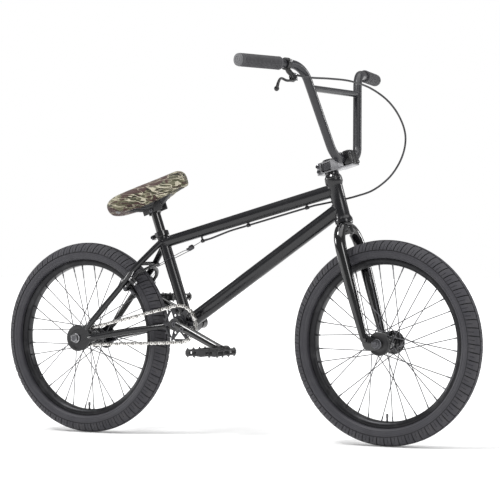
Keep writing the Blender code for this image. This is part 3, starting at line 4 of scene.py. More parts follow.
import bmesh
import bpy
from mathutils import Matrix, Vector


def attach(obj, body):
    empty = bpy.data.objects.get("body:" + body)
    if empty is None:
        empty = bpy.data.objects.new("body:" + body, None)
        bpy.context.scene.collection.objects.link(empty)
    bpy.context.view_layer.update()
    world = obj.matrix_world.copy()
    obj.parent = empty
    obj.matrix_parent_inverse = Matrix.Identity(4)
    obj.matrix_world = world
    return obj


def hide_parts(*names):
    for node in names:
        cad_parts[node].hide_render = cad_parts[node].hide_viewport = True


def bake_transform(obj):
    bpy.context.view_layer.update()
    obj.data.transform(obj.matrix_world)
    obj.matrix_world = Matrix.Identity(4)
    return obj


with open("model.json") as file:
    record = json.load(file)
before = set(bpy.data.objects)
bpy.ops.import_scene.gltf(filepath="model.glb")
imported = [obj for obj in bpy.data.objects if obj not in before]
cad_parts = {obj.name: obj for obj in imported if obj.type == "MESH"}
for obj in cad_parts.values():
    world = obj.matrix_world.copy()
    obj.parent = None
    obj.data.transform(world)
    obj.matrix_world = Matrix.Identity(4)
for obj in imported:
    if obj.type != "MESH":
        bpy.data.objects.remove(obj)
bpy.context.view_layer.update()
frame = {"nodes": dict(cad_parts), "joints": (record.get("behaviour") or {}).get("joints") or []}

scene = bpy.context.scene
scene.view_settings.view_transform = "Standard"
joints = {joint["name"]: joint for joint in frame["joints"]}


def jointPlace(name):
    return Vector(joints[name]["pos_m"])


def jointAxis(name):
    return Vector(joints[name]["axis"]).normalized()


# places read from the frame
side = Vector((0, 1, 0))
frontAxle = jointPlace("front_wheel_spin")
rearAxle = jointPlace("rear_wheel_spin")
crankCentre = jointPlace("crank_spin")
steerFoot = jointPlace("steer")
steerUp = jointAxis("steer")
steerAhead = side.cross(steerUp)
seatUp = jointAxis("seatpost_slide")
saddleCentre = jointPlace("saddle_tilt")
brakeAhead = jointAxis("right_brake_pull")
brakeUp = Vector((-brakeAhead.z, 0, brakeAhead.x))
gap = 0.0003
print("frame loaded", len(frame["nodes"]), "nodes")


def frameMatrix(origin, ahead, left, up):
    return Matrix.Translation(origin) @ Matrix((ahead, left, up)).transposed().to_4x4()


def alongAxis(origin, direction):
    # a matrix whose own Z runs along the direction
    turn = Vector((0, 0, 1)).rotation_difference(Vector(direction).normalized())
    return Matrix.Translation(origin) @ turn.to_matrix().to_4x4()


steerMatrix = frameMatrix(steerFoot, steerAhead, side, steerUp)
acrossMatrix = Matrix.Rotation(math.radians(-90), 4, "X")
uprightMatrix = Matrix.Rotation(math.radians(90), 4, "X")


wheel = {"radius": 0.2575, "section": 0.0295, "tread": 0.0017, "cells": 76, "slit": 0.0028,
         "sipe": 0.0011, "rimEdge": 0.2105, "rimInner": 0.1957, "rimHalf": 0.0165, "spokes": 36,
         "cross": 3, "spokeRadius": 0.0012, "hole": 0.0255, "flange": 0.0290, "shell": 0.0165}


# materials
class Value:
    def __init__(self, owner, socket):
        self.owner = owner
        self.socket = socket

    def calc(self, operation, first, second):
        return self.owner.add("ShaderNodeMath", {0: first, 1: second}, operation=operation)

    def __add__(self, other):
        return self.calc("ADD", self, other)

    def __radd__(self, other):
        return self.calc("ADD", other, self)

    def __sub__(self, other):
        return self.calc("SUBTRACT", self, other)

    def __rsub__(self, other):
        return self.calc("SUBTRACT", other, self)

    def __mul__(self, other):
        return self.calc("MULTIPLY", self, other)

    def __abs__(self):
        return self.calc("ABSOLUTE", self, 0.0)

    def root(self):
        return self.calc("POWER", self, 0.5)

    def sine(self):
        return self.calc("SINE", self, 0.0)


class Finish:
    def __init__(self, name, **fixed):
        self.material = bpy.data.materials.new(name)
        self.material.use_nodes = True
        self.tree = self.material.node_tree
        self.shader = self.tree.nodes["Principled BSDF"]
        for key, value in fixed.items():
            self.shader.inputs[key.replace("_", " ")].default_value = value

    def add(self, kind, values=None, out=0, **settings):
        node = self.tree.nodes.new(kind)
        for key, value in settings.items():
            setattr(node, key, value)
        for key, value in (values or {}).items():
            self.link(value, node.inputs[key])
        return Value(self, node.outputs[out])

    def link(self, value, socket):
        if isinstance(value, Value):
            self.tree.links.new(value.socket, socket)
        else:
            socket.default_value = value

    def coords(self, centre=(0, 0, 0), turn=(0, 0, 0), scale=(1, 1, 1)):
        found = self.add("ShaderNodeTexCoord", out=3)
        moved = self.add("ShaderNodeMapping", {
            "Vector": found, "Location": tuple(-c for c in centre)})
        return self.add("ShaderNodeMapping", {"Vector": moved, "Rotation": turn, "Scale": scale})

    def split(self, coords):
        parts = self.add("ShaderNodeSeparateXYZ", {"Vector": coords}).socket.node
        return [Value(self, socket) for socket in parts.outputs]

    def fromAxle(self, coords):
        # the distance from the wheel's axis
        flat = self.add("ShaderNodeVectorMath", {0: coords, 1: (1, 0, 1)}, operation="MULTIPLY")
        return self.add("ShaderNodeVectorMath", {0: flat}, out=1, operation="LENGTH")

    def noise(self, coords, scale, detail=3.0, rough=0.5, twist=0.0):
        return self.add("ShaderNodeTexNoise", {
            "Vector": coords, "Scale": scale, "Detail": detail, "Roughness": rough,
            "Distortion": twist})

    def range(self, value, low, high, newLow, newHigh):
        return self.add("ShaderNodeMapRange", {
            "Value": value, "From Min": low, "From Max": high, "To Min": newLow, "To Max": newHigh})

    def mix(self, factor, first, second):
        return self.add("ShaderNodeMix", {0: factor, 6: first, 7: second}, out=2,
                        data_type="RGBA")

    def bump(self, height, strength, distance):
        normal = self.add("ShaderNodeBump", {
            "Height": height, "Strength": strength, "Distance": distance})
        self.link(normal, self.shader.inputs["Normal"])

    def colour(self, value):
        self.link(value, self.shader.inputs["Base Color"])

    def roughness(self, value):
        self.link(value, self.shader.inputs["Roughness"])


def rgb(r, g, b):
    return (r, g, b, 1.0)


def paintFinish(name, base, worn, roughLow, roughHigh, coat, peel):
    # sprayed paint: a slight orange peel, soft variation in gloss, and rubbed places
    made = Finish(name, Coat_Weight=coat, Coat_Roughness=0.08, IOR=1.5)
    coords = made.coords()
    cloud = made.noise(coords, 9.0, 4.0)
    rubbed = made.range(made.noise(coords, 55.0, 6.0, 0.65), 0.60, 0.74, 0.0, 1.0)
    made.colour(made.mix(rubbed * 0.35, rgb(*base), rgb(*worn)))
    made.roughness(made.range(cloud, 0.3, 0.7, roughLow, roughHigh) + rubbed * 0.10)
    made.bump(made.noise(coords, 420.0, 2.0), peel, 0.0004)
    return made.material


def metalFinish(name, light, dark, roughLow, roughHigh, metallic=1.0, grain=500.0):
    # plated or blasted metal: darker in the patches where oil and dust sit
    made = Finish(name, Metallic=metallic)
    coords = made.coords()
    patch = made.range(made.noise(coords, 60.0, 5.0, 0.6), 0.42, 0.68, 0.0, 1.0)
    made.colour(made.mix(patch, rgb(*light), rgb(*dark)))
    made.roughness(made.range(made.noise(coords, 25.0, 3.0), 0.3, 0.7, roughLow, roughHigh))
    made.bump(made.noise(coords, grain, 2.0), 0.10, 0.0003)
    return made.material


def plasticFinish(name, base, roughLow, roughHigh, grain, depth):
    # moulded plastic or soft rubber with a fine pebble
    made = Finish(name, IOR=1.46)
    coords = made.coords()
    tone = made.noise(coords, 30.0, 4.0)
    lighter = tuple(min(1.0, c * 1.7 + 0.006) for c in base)
    made.colour(made.mix(tone, rgb(*base), rgb(*lighter)))
    made.roughness(made.range(tone, 0.3, 0.7, roughLow, roughHigh))
    pebble = made.add("ShaderNodeTexVoronoi", {"Vector": coords, "Scale": grain})
    made.bump(pebble, depth, 0.0006)
    return made.material


def tyreFinish(name, centre):
    # rubber: dusty on the tread, painted shade in its grooves and along the ring where the tread
    # meets the sidewall, moulded rings on the smooth sidewall
    made = Finish(name, IOR=1.45, Specular_IOR_Level=0.42)
    coords = made.coords(centre=tuple(centre))
    across = made.split(coords)[1]
    spread = made.fromAxle(coords)
    fromCrown = spread - (wheel["radius"] - wheel["section"])
    reach = (fromCrown * fromCrown + across * across).root()
    block = made.range(reach, wheel["section"] - 0.0011, wheel["section"] - 0.0004, 0.0, 1.0)
    tread = made.range(fromCrown, 0.002, 0.010, 0.0, 1.0)
    dust = made.range(made.noise(coords, 35.0, 6.0, 0.6), 0.45, 0.75, 0.0, 1.0)
    rubber = made.mix(made.noise(coords, 18.0, 3.0), rgb(0.030, 0.0295, 0.035),
                      rgb(0.048, 0.047, 0.055))
    rubber = made.mix(dust * (0.10 + tread * 0.22), rubber, rgb(0.100, 0.095, 0.094))
    # painted shade: a dark ring along the crease where the tread meets the sidewall
    painted_seam_shade = made.range(abs(fromCrown - 0.0046), 0.0005, 0.0011, 0.9, 0.0)
    painted_groove_shade = 1 - (1 - tread * (1 - block)) * (1 - painted_seam_shade)
    rings = made.range((spread * 1500.0).sine(), 0.80, 0.95, 0.0, 0.55) * (1 - tread)
    shade = made.mix(rings, rubber, rgb(0.012, 0.012, 0.014))
    # painted shade: the groove floors and the crease ring are mixed towards near-black
    made.colour(made.mix(painted_groove_shade * 0.90, shade, rgb(0.004, 0.004, 0.005)))
    made.roughness(0.50 + tread * 0.16 + dust * 0.08)
    lines = (spread * 5200.0).sine() * 0.25 * (1 - tread)
    made.bump(made.noise(coords, 300.0, 3.0) * 0.5 + lines, 0.35, 0.0005)
    return made.material


def rimFinish(name, centre):
    # black anodised alloy, turned in fine rings, with a rubbed brake track
    made = Finish(name, Metallic=0.65)
    coords = made.coords(centre=tuple(centre))
    spread = made.fromAxle(coords)
    streak = made.noise(coords, 22.0, 5.0, 0.6)
    made.colour(made.mix(made.range(streak, 0.5, 0.8, 0.0, 0.6), rgb(0.016, 0.016, 0.018),
                         rgb(0.075, 0.075, 0.078)))
    made.roughness(made.range(streak, 0.3, 0.7, 0.30, 0.44))
    made.bump((spread * 9000.0).sine(), 0.06, 0.0002)
    return made.material


def clothFinish(name, centre, forward):
    # a woven cover printed with cream and dark strokes on olive, and brown fields
    made = Finish(name, Sheen_Weight=0.15, Sheen_Roughness=0.5, IOR=1.4, Specular_IOR_Level=0.25)
    lean = math.atan2(forward.z, forward.x)
    coords = made.coords(centre=tuple(centre), turn=(0, lean, 0))
    lengthwise, across, upward = made.split(coords)
    stroke = made.coords(centre=tuple(centre), turn=(0.4, lean + 0.42, 0.25),
                         scale=(0.34, 1.0, 1.75))
    warp = made.noise(stroke, 34.0, 1.5, 0.5, 1.0)
    warpToo = made.noise(stroke, 46.0, 1.5, 0.5, 1.3)
    patches = made.noise(coords, 24.0, 2.0, 0.5, 0.9)
    olive = made.mix(made.range(patches, 0.40, 0.58, 0.0, 1.0), rgb(0.056, 0.058, 0.034),
                     rgb(0.135, 0.126, 0.078))
    dark = made.range(abs(warpToo - 0.57), 0.034, 0.046, 1.0, 0.0)
    cream = made.range(abs(warp - 0.5), 0.016, 0.026, 1.0, 0.0)
    creamToo = made.range(abs(warpToo - 0.45), 0.014, 0.024, 1.0, 0.0)
    shade = made.mix(dark, olive, rgb(0.022, 0.018, 0.014))
    shade = made.mix(creamToo * 0.8, shade, rgb(0.400, 0.370, 0.270))
    shade = made.mix(cream, shade, rgb(0.560, 0.520, 0.400))
    wobble = (patches - 0.5) * 0.05
    alongRidge = made.range(abs(lengthwise - cloth["ridgeMiddle"]), cloth["ridgeHalf"],
                            cloth["ridgeHalf"] + 0.012, 1.0, 0.0)
    ridge = made.range(upward + wobble, cloth["ridgeLow"], cloth["ridgeLow"] + 0.003, 0.0, 1.0)
    rear = made.range(upward + lengthwise * 0.30 + wobble, cloth["rearHigh"],
                      cloth["rearHigh"] + 0.003, 1.0, 0.0)
    behind = made.range(lengthwise, cloth["rearEnd"], cloth["rearEnd"] + 0.012, 1.0, 0.0)
    band = made.range(abs(warp * 0.5 + warpToo * 0.5 - 0.58), 0.02, 0.03, 1.0, 0.0)
    field = 1 - (1 - ridge * alongRidge) * (1 - rear * behind) * (1 - band)
    brown = made.mix(made.noise(coords, 90.0, 3.0), rgb(0.048, 0.025, 0.023),
                     rgb(0.090, 0.052, 0.046))
    shade = made.mix(field * (1 - cream * 0.5), shade, brown)
    weave = (lengthwise * 5200.0).sine() * ((across + upward) * 5200.0).sine()
    made.colour(made.mix(made.range(weave, -1.0, 1.0, 0.0, 0.25), shade, rgb(0.02, 0.018, 0.014)))
    made.roughness(made.range(patches, 0.3, 0.7, 0.78, 0.90))
    made.bump(weave, 0.35, 0.0003)
    return made.material


# the saddle's nose points down by this much
saddleLean = math.radians(19.5)
saddleForward = side.cross(Vector((-math.sin(saddleLean), 0, math.cos(saddleLean))))
cloth = {"ridgeMiddle": 0.014, "ridgeHalf": 0.062, "ridgeLow": 0.051, "rearHigh": 0.010,
         "rearEnd": -0.014}
framePaint = paintFinish("satin_frame_paint", (0.0045, 0.0047, 0.0062), (0.024, 0.024, 0.028),
                         0.21, 0.29, 0.10, 0.10)
glossPaint = paintFinish("gloss_fork_paint", (0.0030, 0.0031, 0.0038), (0.012, 0.012, 0.014),
                         0.10, 0.16, 0.55, 0.04)
barPaint = paintFinish("matte_bar_paint", (0.014, 0.0142, 0.018), (0.040, 0.041, 0.046),
                       0.28, 0.38, 0.15, 0.12)
crankPaint = paintFinish("crank_paint", (0.006, 0.006, 0.007), (0.050, 0.050, 0.054),
                         0.16, 0.24, 0.45, 0.06)
brakePaint = paintFinish("brake_paint", (0.006, 0.006, 0.007), (0.040, 0.040, 0.044),
                         0.26, 0.36, 0.10, 0.10)
stemMetal = metalFinish("stem_grey_metal", (0.32, 0.32, 0.33), (0.22, 0.22, 0.23), 0.30, 0.40,
                        0.85, 700.0)
brightSteel = metalFinish("bright_steel", (0.66, 0.66, 0.67), (0.42, 0.42, 0.42), 0.20, 0.32)
spokeSteel = metalFinish("spoke_steel", (0.13, 0.13, 0.14), (0.07, 0.07, 0.075), 0.28, 0.40, 0.8)
chainSteel = metalFinish("chain_steel", (0.80, 0.79, 0.77), (0.52, 0.50, 0.47), 0.22, 0.34)
# a darker copy of the chain steel for the inner plates: painted shade of the gaps between the outer
# plates
innerSteelPaintedShade = metalFinish("inner_link_steel_painted_shade", (0.34, 0.33, 0.32), (0.14, 0.13, 0.12), 0.30, 0.44)
nutSteel = metalFinish("nut_steel", (0.34, 0.34, 0.35), (0.20, 0.20, 0.21), 0.26, 0.38)
darkSteel = metalFinish("dark_steel", (0.13, 0.13, 0.14), (0.055, 0.055, 0.058), 0.28, 0.42)
# near-black steel for the rollers and pins: painted shade of the chain's gaps
pinSteelPaintedShade = metalFinish("chain_pin_steel_painted_shade", (0.10, 0.10, 0.10), (0.04, 0.04, 0.04), 0.32, 0.46)
frontRimMetal = rimFinish("front_rim_metal", frontAxle)
rearRimMetal = rimFinish("rear_rim_metal", rearAxle)
frontRubber = tyreFinish("front_tyre_rubber", frontAxle)
rearRubber = tyreFinish("rear_tyre_rubber", rearAxle)
gripRubber = plasticFinish("grip_rubber", (0.040, 0.0395, 0.043), 0.60, 0.74, 1400.0, 0.25)
plugPlastic = plasticFinish("plug_plastic", (0.090, 0.090, 0.094), 0.40, 0.52, 1800.0, 0.12)
pedalPlastic = plasticFinish("pedal_plastic", (0.014, 0.014, 0.015), 0.34, 0.48, 1500.0, 0.20)
guardPlastic = plasticFinish("guard_plastic", (0.016, 0.016, 0.017), 0.26, 0.38, 1600.0, 0.10)
basePlastic = plasticFinish("saddle_plastic", (0.012, 0.012, 0.013), 0.30, 0.44, 1300.0, 0.18)
cableSkin = plasticFinish("cable_skin", (0.022, 0.022, 0.024), 0.30, 0.42, 900.0, 0.10)
padRubber = plasticFinish("brake_pad_rubber", (0.020, 0.020, 0.020), 0.62, 0.76, 1200.0, 0.30)
saddleCloth = clothFinish("saddle_cloth", saddleCentre, saddleForward)
print("materials made")


# shape helpers
def newObject(name, data):
    made = bpy.data.objects.new(name, data)
    scene.collection.objects.link(made)
    return made


def roundEdges(own, edges, offset, segments=2):
    bmesh.ops.bevel(own, geom=edges, offset=offset, offset_type="OFFSET", segments=segments,
                    profile=0.5, affect="EDGES", material=-1)


def join(shape, piece, place=None):
    # adds one small shape to another, moved to its place
    bmesh.ops.remove_doubles(piece, verts=piece.verts, dist=0.000002)
    if place is not None:
        piece.transform(place)
    mesh = bpy.data.meshes.new("part")
    piece.to_mesh(mesh)
    piece.free()
    shape.from_mesh(mesh)
    bpy.data.meshes.remove(mesh)
    return shape


def finishPiece(name, shape, finish, body, stands=(), sharp=38):
    bmesh.ops.recalc_face_normals(shape, faces=shape.faces)
    mesh = bpy.data.meshes.new(name)
    shape.to_mesh(mesh)
    shape.free()
    mesh.shade_smooth()
    mesh.set_sharp_from_angle(angle=math.radians(sharp))
    mesh.materials.append(finish)
    piece = newObject(name, mesh)
    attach(piece, body)
    if stands:
        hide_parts(*stands)
    return piece


def sweep(shape, line, radii, sides=20, flat=1.0, across=None):
    # a round or flattened bar along a line, drawn out ring by ring
    line = [Vector(point) for point in line]
    if not isinstance(radii, (list, tuple)):
        radii = [radii] * len(line)
    own = bmesh.new()
    ring = bmesh.ops.create_circle(own, cap_ends=False, segments=sides, radius=1.0)["verts"]
    edges = list({edge for vert in ring for edge in vert.link_edges})
    bmesh.ops.contextual_create(own, geom=edges)
    normal = Vector(across) if across else None
    last = Matrix.Identity(4)
    tangent = None
    for index, point in enumerate(line):
        ahead = line[min(index + 1, len(line) - 1)] - point
        behind = point - line[max(index - 1, 0)]
        newTangent = (ahead.normalized() + behind.normalized()).normalized()
        if normal is None:
            normal = newTangent.orthogonal()
        elif tangent is not None:
            normal = tangent.rotation_difference(newTangent) @ normal
        tangent = newTangent
        normal = (normal - tangent * normal.dot(tangent)).normalized()
        other = tangent.cross(normal)
        basis = Matrix((normal * radii[index], other * radii[index] * flat, tangent))
        place = Matrix.Translation(point) @ basis.transposed().to_4x4()
        if index:
            grown = bmesh.ops.extrude_edge_only(own, edges=edges)["geom"]
            ring = [item for item in grown if isinstance(item, bmesh.types.BMVert)]
            edges = [item for item in grown if isinstance(item, bmesh.types.BMEdge)]
            edges = [edge for edge in edges if all(vert in set(ring) for vert in edge.verts)]
        bmesh.ops.transform(own, matrix=place @ last.inverted(), verts=ring)
        last = place
    bmesh.ops.contextual_create(own, geom=edges)
    return join(shape, own)


def lathe(shape, profile, place, steps=36, ring=False):
    # turns a profile of (radius, height) points about its own Z
    own = bmesh.new()
    points = [own.verts.new((radius, 0, height)) for radius, height in profile]
    edges = [own.edges.new(pair) for pair in zip(points, points[1:])]
    if ring:
        edges.append(own.edges.new((points[-1], points[0])))
    bmesh.ops.spin(own, geom=points + edges, cent=(0, 0, 0), axis=(0, 0, 1), dvec=(0, 0, 0),
                   angle=math.tau, steps=steps, use_merge=True, use_duplicate=False)
    return join(shape, own, place)


def mirrored(profile):
    # a profile and its reflection about height 0
    return profile + [(radius, -height) for radius, height in profile[::-1]]


def block(shape, size, place, bevel=0.0, segments=3):
    own = bmesh.new()
    bmesh.ops.create_cube(own, size=1.0)
    bmesh.ops.scale(own, vec=size, verts=own.verts)
    if bevel:
        roundEdges(own, own.edges[:], bevel, segments)
    return join(shape, own, place)


def plate(shape, outlines, thickness, place, edge=0.0004):
    # a flat plate with holes, its edges slightly rounded
    curve = bpy.data.curves.new("plate", "CURVE")
    curve.dimensions = "2D"
    curve.fill_mode = "BOTH"
    curve.extrude = thickness / 2 - edge
    curve.bevel_depth = edge
    curve.bevel_resolution = 1
    curve.offset = -edge
    for outline in outlines:
        spline = curve.splines.new("POLY")
        spline.points.add(len(outline) - 1)
        for point, spot in zip(spline.points, outline):
            point.co = (spot[0], spot[1], 0, 1)
        spline.use_cyclic_u = True
    holder = newObject("plate", curve)
    bpy.context.view_layer.update()
    seen = holder.evaluated_get(bpy.context.evaluated_depsgraph_get())
    mesh = bpy.data.meshes.new_from_object(seen)
    own = bmesh.new()
    own.from_mesh(mesh)
    bpy.data.objects.remove(holder)
    bpy.data.curves.remove(curve)
    bpy.data.meshes.remove(mesh)
    bmesh.ops.remove_doubles(own, verts=own.verts, dist=0.00001)
    return join(shape, own, place)


def standing(sides, radius, height):
    # a cylinder or prism that stands on height 0
    own = bmesh.new()
    bmesh.ops.create_cone(own, cap_ends=True, segments=sides, radius1=radius, radius2=radius,
                          depth=height)
    bmesh.ops.translate(own, vec=(0, 0, height / 2), verts=own.verts)
    return own


def roundTop(own, height, offset):
    roundEdges(own, [edge for edge in own.edges
                     if all(v.co.z > height * 0.9 for v in edge.verts)], offset)


def hexSocket(shape, place, radius, height, flange=0.0):
    # a cap screw: a round head with a six-sided socket sunk into it
    own = standing(24, radius, height)
    roundTop(own, height, radius * 0.14)
    top = max(own.faces, key=lambda face: face.calc_center_median().z + face.calc_area())
    bmesh.ops.inset_region(own, faces=[top], thickness=radius * 0.38)
    for vert in top.verts:
        angle = math.atan2(vert.co.y, vert.co.x) % (math.pi / 3) - math.pi / 6
        factor = 0.50 * radius / math.cos(angle) / max(vert.co.xy.length, 0.00001)
        vert.co.x *= factor
        vert.co.y *= factor
    sunk = bmesh.ops.extrude_face_region(own, geom=[top])["geom"]
    bmesh.ops.translate(own, vec=(0, 0, -height * 0.6),
                        verts=[item for item in sunk if isinstance(item, bmesh.types.BMVert)])
    if top.is_valid:
        own.faces.remove(top)
    if flange:
        lathe(shape, [(0, 0), (flange, 0), (flange, height * 0.22), (0, height * 0.22)], place, 24)
    return join(shape, own, place)


def hexNut(shape, place, radius, height, flange, bore):
    # a flanged hexagon nut with chamfered corners
    own = standing(6, radius, height)
    roundTop(own, height, radius * 0.12)
    join(shape, own, place)
    return lathe(shape, [(bore, height + 0.0002), (bore + 0.0012, height + 0.0002),
                         (bore + 0.0012, height - 0.001), (radius * 0.86, 0.0034),
                         (flange - 0.0012, 0.0030), (flange, 0.0018), (flange, 0), (bore, 0)],
                 place, 36, ring=True)


def rounded(points, radii, steps=8):
    # corner points with each inner corner turned into an arc
    corners = [Vector(point) for point in points]
    line = [corners[0]]
    for index in range(1, len(corners) - 1):
        corner = corners[index]
        before = (corners[index - 1] - corner).normalized()
        after = (corners[index + 1] - corner).normalized()
        half = before.angle(after) / 2
        radius = radii[index - 1]
        centre = corner + (before + after).normalized() * (radius / math.sin(half))
        reach = radius / math.tan(half)
        first = corner + before * reach - centre
        last = corner + after * reach - centre
        for step in range(steps + 1):
            line.append(centre + first.slerp(last, step / steps) * radius)
    line.append(corners[-1])
    return line


def smoothLine(points, count):
    # points read at even steps from a smooth curve through the given points
    places = [Vector(point) for point in points]
    places = [places[0] * 2 - places[1]] + places + [places[-1] * 2 - places[-2]]
    fine = []
    for index in range(1, len(places) - 2):
        a, b, c, d = places[index - 1:index + 3]
        for step in range(20):
            t = step / 20
            fine.append(0.5 * (2 * b + (c - a) * t + (2 * a - 5 * b + 4 * c - d) * t * t
                               + (3 * b - a - 3 * c + d) * t * t * t))
    fine.append(places[-2])
    lengths = [0.0]
    for first, second in zip(fine, fine[1:]):
        lengths.append(lengths[-1] + (second - first).length)
    line = []
    index = 0
    for step in range(count):
        target = lengths[-1] * step / (count - 1)
        while index < len(fine) - 2 and lengths[index + 1] < target:
            index += 1
        span = lengths[index + 1] - lengths[index]
        line.append(fine[index].lerp(fine[index + 1], (target - lengths[index]) / span))
    return line


def circlePoints(radius, count, centre=(0, 0), start=0.0, end=math.tau):
    return [(centre[0] + radius * math.cos(start + (end - start) * i / count),
             centre[1] + radius * math.sin(start + (end - start) * i / count))
            for i in range(count)]


def weld(shape, small, smallDir, smallRadius, big, bigDir, bigRadius, bead=0.0020, ripple=0.0004):
    # a weld bead where a small tube runs into the side of a big one
    small = Vector(small)
    smallDir = Vector(smallDir).normalized()
    bigDir = Vector(bigDir).normalized()
    first = smallDir.cross(bigDir).normalized()
    second = smallDir.cross(first)
    line = []
    radii = []
    count = 64
    for index in range(count + 1):
        angle = math.tau * index / count
        offset = (first * math.cos(angle) + second * math.sin(angle)) * smallRadius
        start = small + offset - Vector(big)
        a = smallDir - bigDir * smallDir.dot(bigDir)
        b = start - bigDir * start.dot(bigDir)
        root = max(0.0, a.dot(b) ** 2 - a.length_squared * (b.length_squared - bigRadius ** 2))
        reach = (-a.dot(b) - math.sqrt(root)) / a.length_squared
        line.append(small + offset + smallDir * reach)
        radii.append(bead + ripple * math.sin(angle * 22))
    return sweep(shape, line, radii, 8)


def wheelPlace(centre):
    # a matrix whose own Z runs across the bike
    return Matrix.Translation(centre) @ acrossMatrix


def tyre(end, centre, rubber):
    mid = wheel["radius"] - wheel["section"]
    outer = wheel["section"]
    deep = outer - wheel["tread"]
    # lean of each ring from the crown, its reach, and which blocks stand outside it
    rings = [(122, deep + 0.0002, None), (113, deep + 0.0009, None), (110, deep + 0.0009, None),
             (108, deep + 0.0001, None), (98, deep + 0.0003, None), (90, deep + 0.0005, None),
             (84, deep, None)]
    rings += [(lean, deep, kind) for lean, kind in (
        (79, "half"), (68, "half"), (57, "half"), (47, "full"), (36, "full"), (26, "full"),
        (18, None), (13, "middle"), (4.5, "middle"))]
    kinds = [kind for _, _, kind in rings]
    kinds += kinds[:-1][::-1]
    rings = [(lean, reach) for lean, reach, _ in rings]
    rings += [(-lean, reach) for lean, reach in rings[::-1]]
    profile = [(wheel["rimEdge"] - 0.0050, 0.0128), (wheel["rimEdge"] + 0.0010, 0.0134)]
    profile += [(mid + reach * math.cos(math.radians(lean)), reach * math.sin(math.radians(lean)))
                for lean, reach in rings]
    profile += [(wheel["rimEdge"] + 0.0010, -0.0134), (wheel["rimEdge"] - 0.0050, -0.0128)]
    shape = bmesh.new()
    period = math.tau / wheel["cells"]
    slit = wheel["slit"] / wheel["radius"]
    sipe = wheel["sipe"] / wheel["radius"]
    marks = [0.0, slit, period * 0.55, period * 0.55 + sipe]
    loops = []
    for cell in range(wheel["cells"]):
        for mark in marks:
            loop = []
            for index, (radius, height) in enumerate(profile):
                lean = 90.0 if index < 2 or index > len(profile) - 3 else rings[index - 2][0]
                skew = 0.28 * period * min(1.0, max(0.0, (abs(lean) - 18) / 61))
                angle = cell * period + mark + skew * (1 if lean > 0 else -1)
                loop.append(shape.verts.new((radius * math.cos(angle), radius * math.sin(angle),
                                             height)))
            loops.append(loop)
    blocks = []
    grooves = {"half": (0, 2), "full": (0,), "middle": (2,)}
    for turn, loop in enumerate(loops):
        after = loops[(turn + 1) % len(loops)]
        column = turn % len(marks)
        for index in range(len(profile)):
            ahead = (index + 1) % len(profile)
            face = shape.faces.new((loop[index], after[index], after[ahead], loop[ahead]))
            kind = kinds[index - 2] if 2 <= index < len(profile) - 3 else None
            if kind and column not in grooves[kind]:
                blocks.append(face)
    bmesh.ops.recalc_face_normals(shape, faces=shape.faces)
    raised = bmesh.ops.extrude_face_region(shape, geom=blocks)["geom"]
    for vert in [v for v in raised if isinstance(v, bmesh.types.BMVert)]:
        heart = (vert.co.xy.normalized() * mid).to_3d()
        vert.co = heart + (vert.co - heart).normalized() * outer
    bmesh.ops.delete(shape, geom=blocks, context="FACES")
    bmesh.ops.recalc_face_normals(shape, faces=shape.faces)
    shape.transform(wheelPlace(centre))
    finishPiece(end + "_tyre_skin", shape, rubber, end + "_wheel", [end + "_tyre"], 35)


def rim(end, centre, metal):
    edge, inner, half = wheel["rimEdge"], wheel["rimInner"], wheel["rimHalf"]
    shape = bmesh.new()
    lathe(shape, mirrored([
        (edge - 0.0060, half - 0.0024), (edge, half - 0.0022), (edge, half - 0.0010),
        (edge - 0.0004, half - 0.0002), (edge - 0.0030, half), (inner + 0.0075, half),
        (inner + 0.0060, half - 0.0010), (inner + 0.0030, half - 0.0022),
        (inner + 0.0008, half - 0.0052), (inner, half - 0.0090)]) + [(edge - 0.0080, 0)],
        wheelPlace(centre), 128, ring=True)
    finishPiece(end + "_rim_hoop", shape, metal, end + "_wheel", [end + "_rim"])


def spokeSet(end, centre, flanges):
    wires = bmesh.new()
    nipples = bmesh.new()
    place = wheelPlace(centre)
    step = math.tau / wheel["spokes"]
    perSide = wheel["spokes"] // 2
    thin = wheel["spokeRadius"]
    tip = wheel["rimInner"]
    for flangeSide, flange in enumerate(flanges):
        sign = -1 if flange < 0 else 1
        for index in range(perSide):
            hole = (index * 2 + flangeSide + 0.5) * step
            outward = 1 if index % 2 else -1
            finish = hole + outward * wheel["cross"] * math.tau / perSide
            across = flange + sign * outward * 0.0028
            back = flange - sign * outward * 0.0026
            radial = Vector((math.cos(hole), math.sin(hole), 0)) * wheel["hole"]
            far = Vector((tip * math.cos(finish), tip * math.sin(finish), sign * 0.0035))
            near = radial + Vector((0, 0, across))
            bend = near + (far - near).normalized() * 0.003
            head = radial + Vector((0, 0, back))
            sweep(wires, [head, head.lerp(near, 0.3), near, bend, far],
                  [thin * 1.9, thin, thin, thin, thin], 7)
            start = far + (near - far).normalized() * 0.0125
            sweep(nipples, [far + (far - near).normalized() * 0.0015, far.lerp(start, 0.25),
                            start.lerp(far, 0.15), start],
                  [0.0026, 0.0018, 0.0018, 0.0014], 8)
    wires.transform(place)
    nipples.transform(place)
    finishPiece(end + "_spokes", wires, spokeSteel, end + "_wheel", (), 45)
    finishPiece(end + "_nipples", nipples, darkSteel, end + "_wheel", (), 45)


def hubShell(end, centre, right, left, rightEnd, leftEnd, bore):
    flange, shell = wheel["flange"], wheel["shell"]
    profile = []
    for face, outer, sign in ((left, leftEnd, 1), (right, rightEnd, -1)):
        half = [(bore, outer), (0.0125, outer), (0.0140, outer - sign * 0.0012)]
        half += [(radius, face + sign * height) for radius, height in (
            (0.0155, 0.0030), (flange - 0.0100, 0.0018), (flange - 0.0012, 0.0016),
            (flange, 0.0006), (flange, -0.0006), (flange - 0.0012, -0.0016), (0.0205, -0.0030),
            (shell + 0.0010, -0.0070), (shell, -0.0120))]
        profile += half[::sign]
    shape = bmesh.new()
    lathe(shape, profile, wheelPlace(centre), 48, ring=True)
    finishPiece(end + "_hub_shell", shape, glossPaint, end + "_wheel", [end + "_hub"])


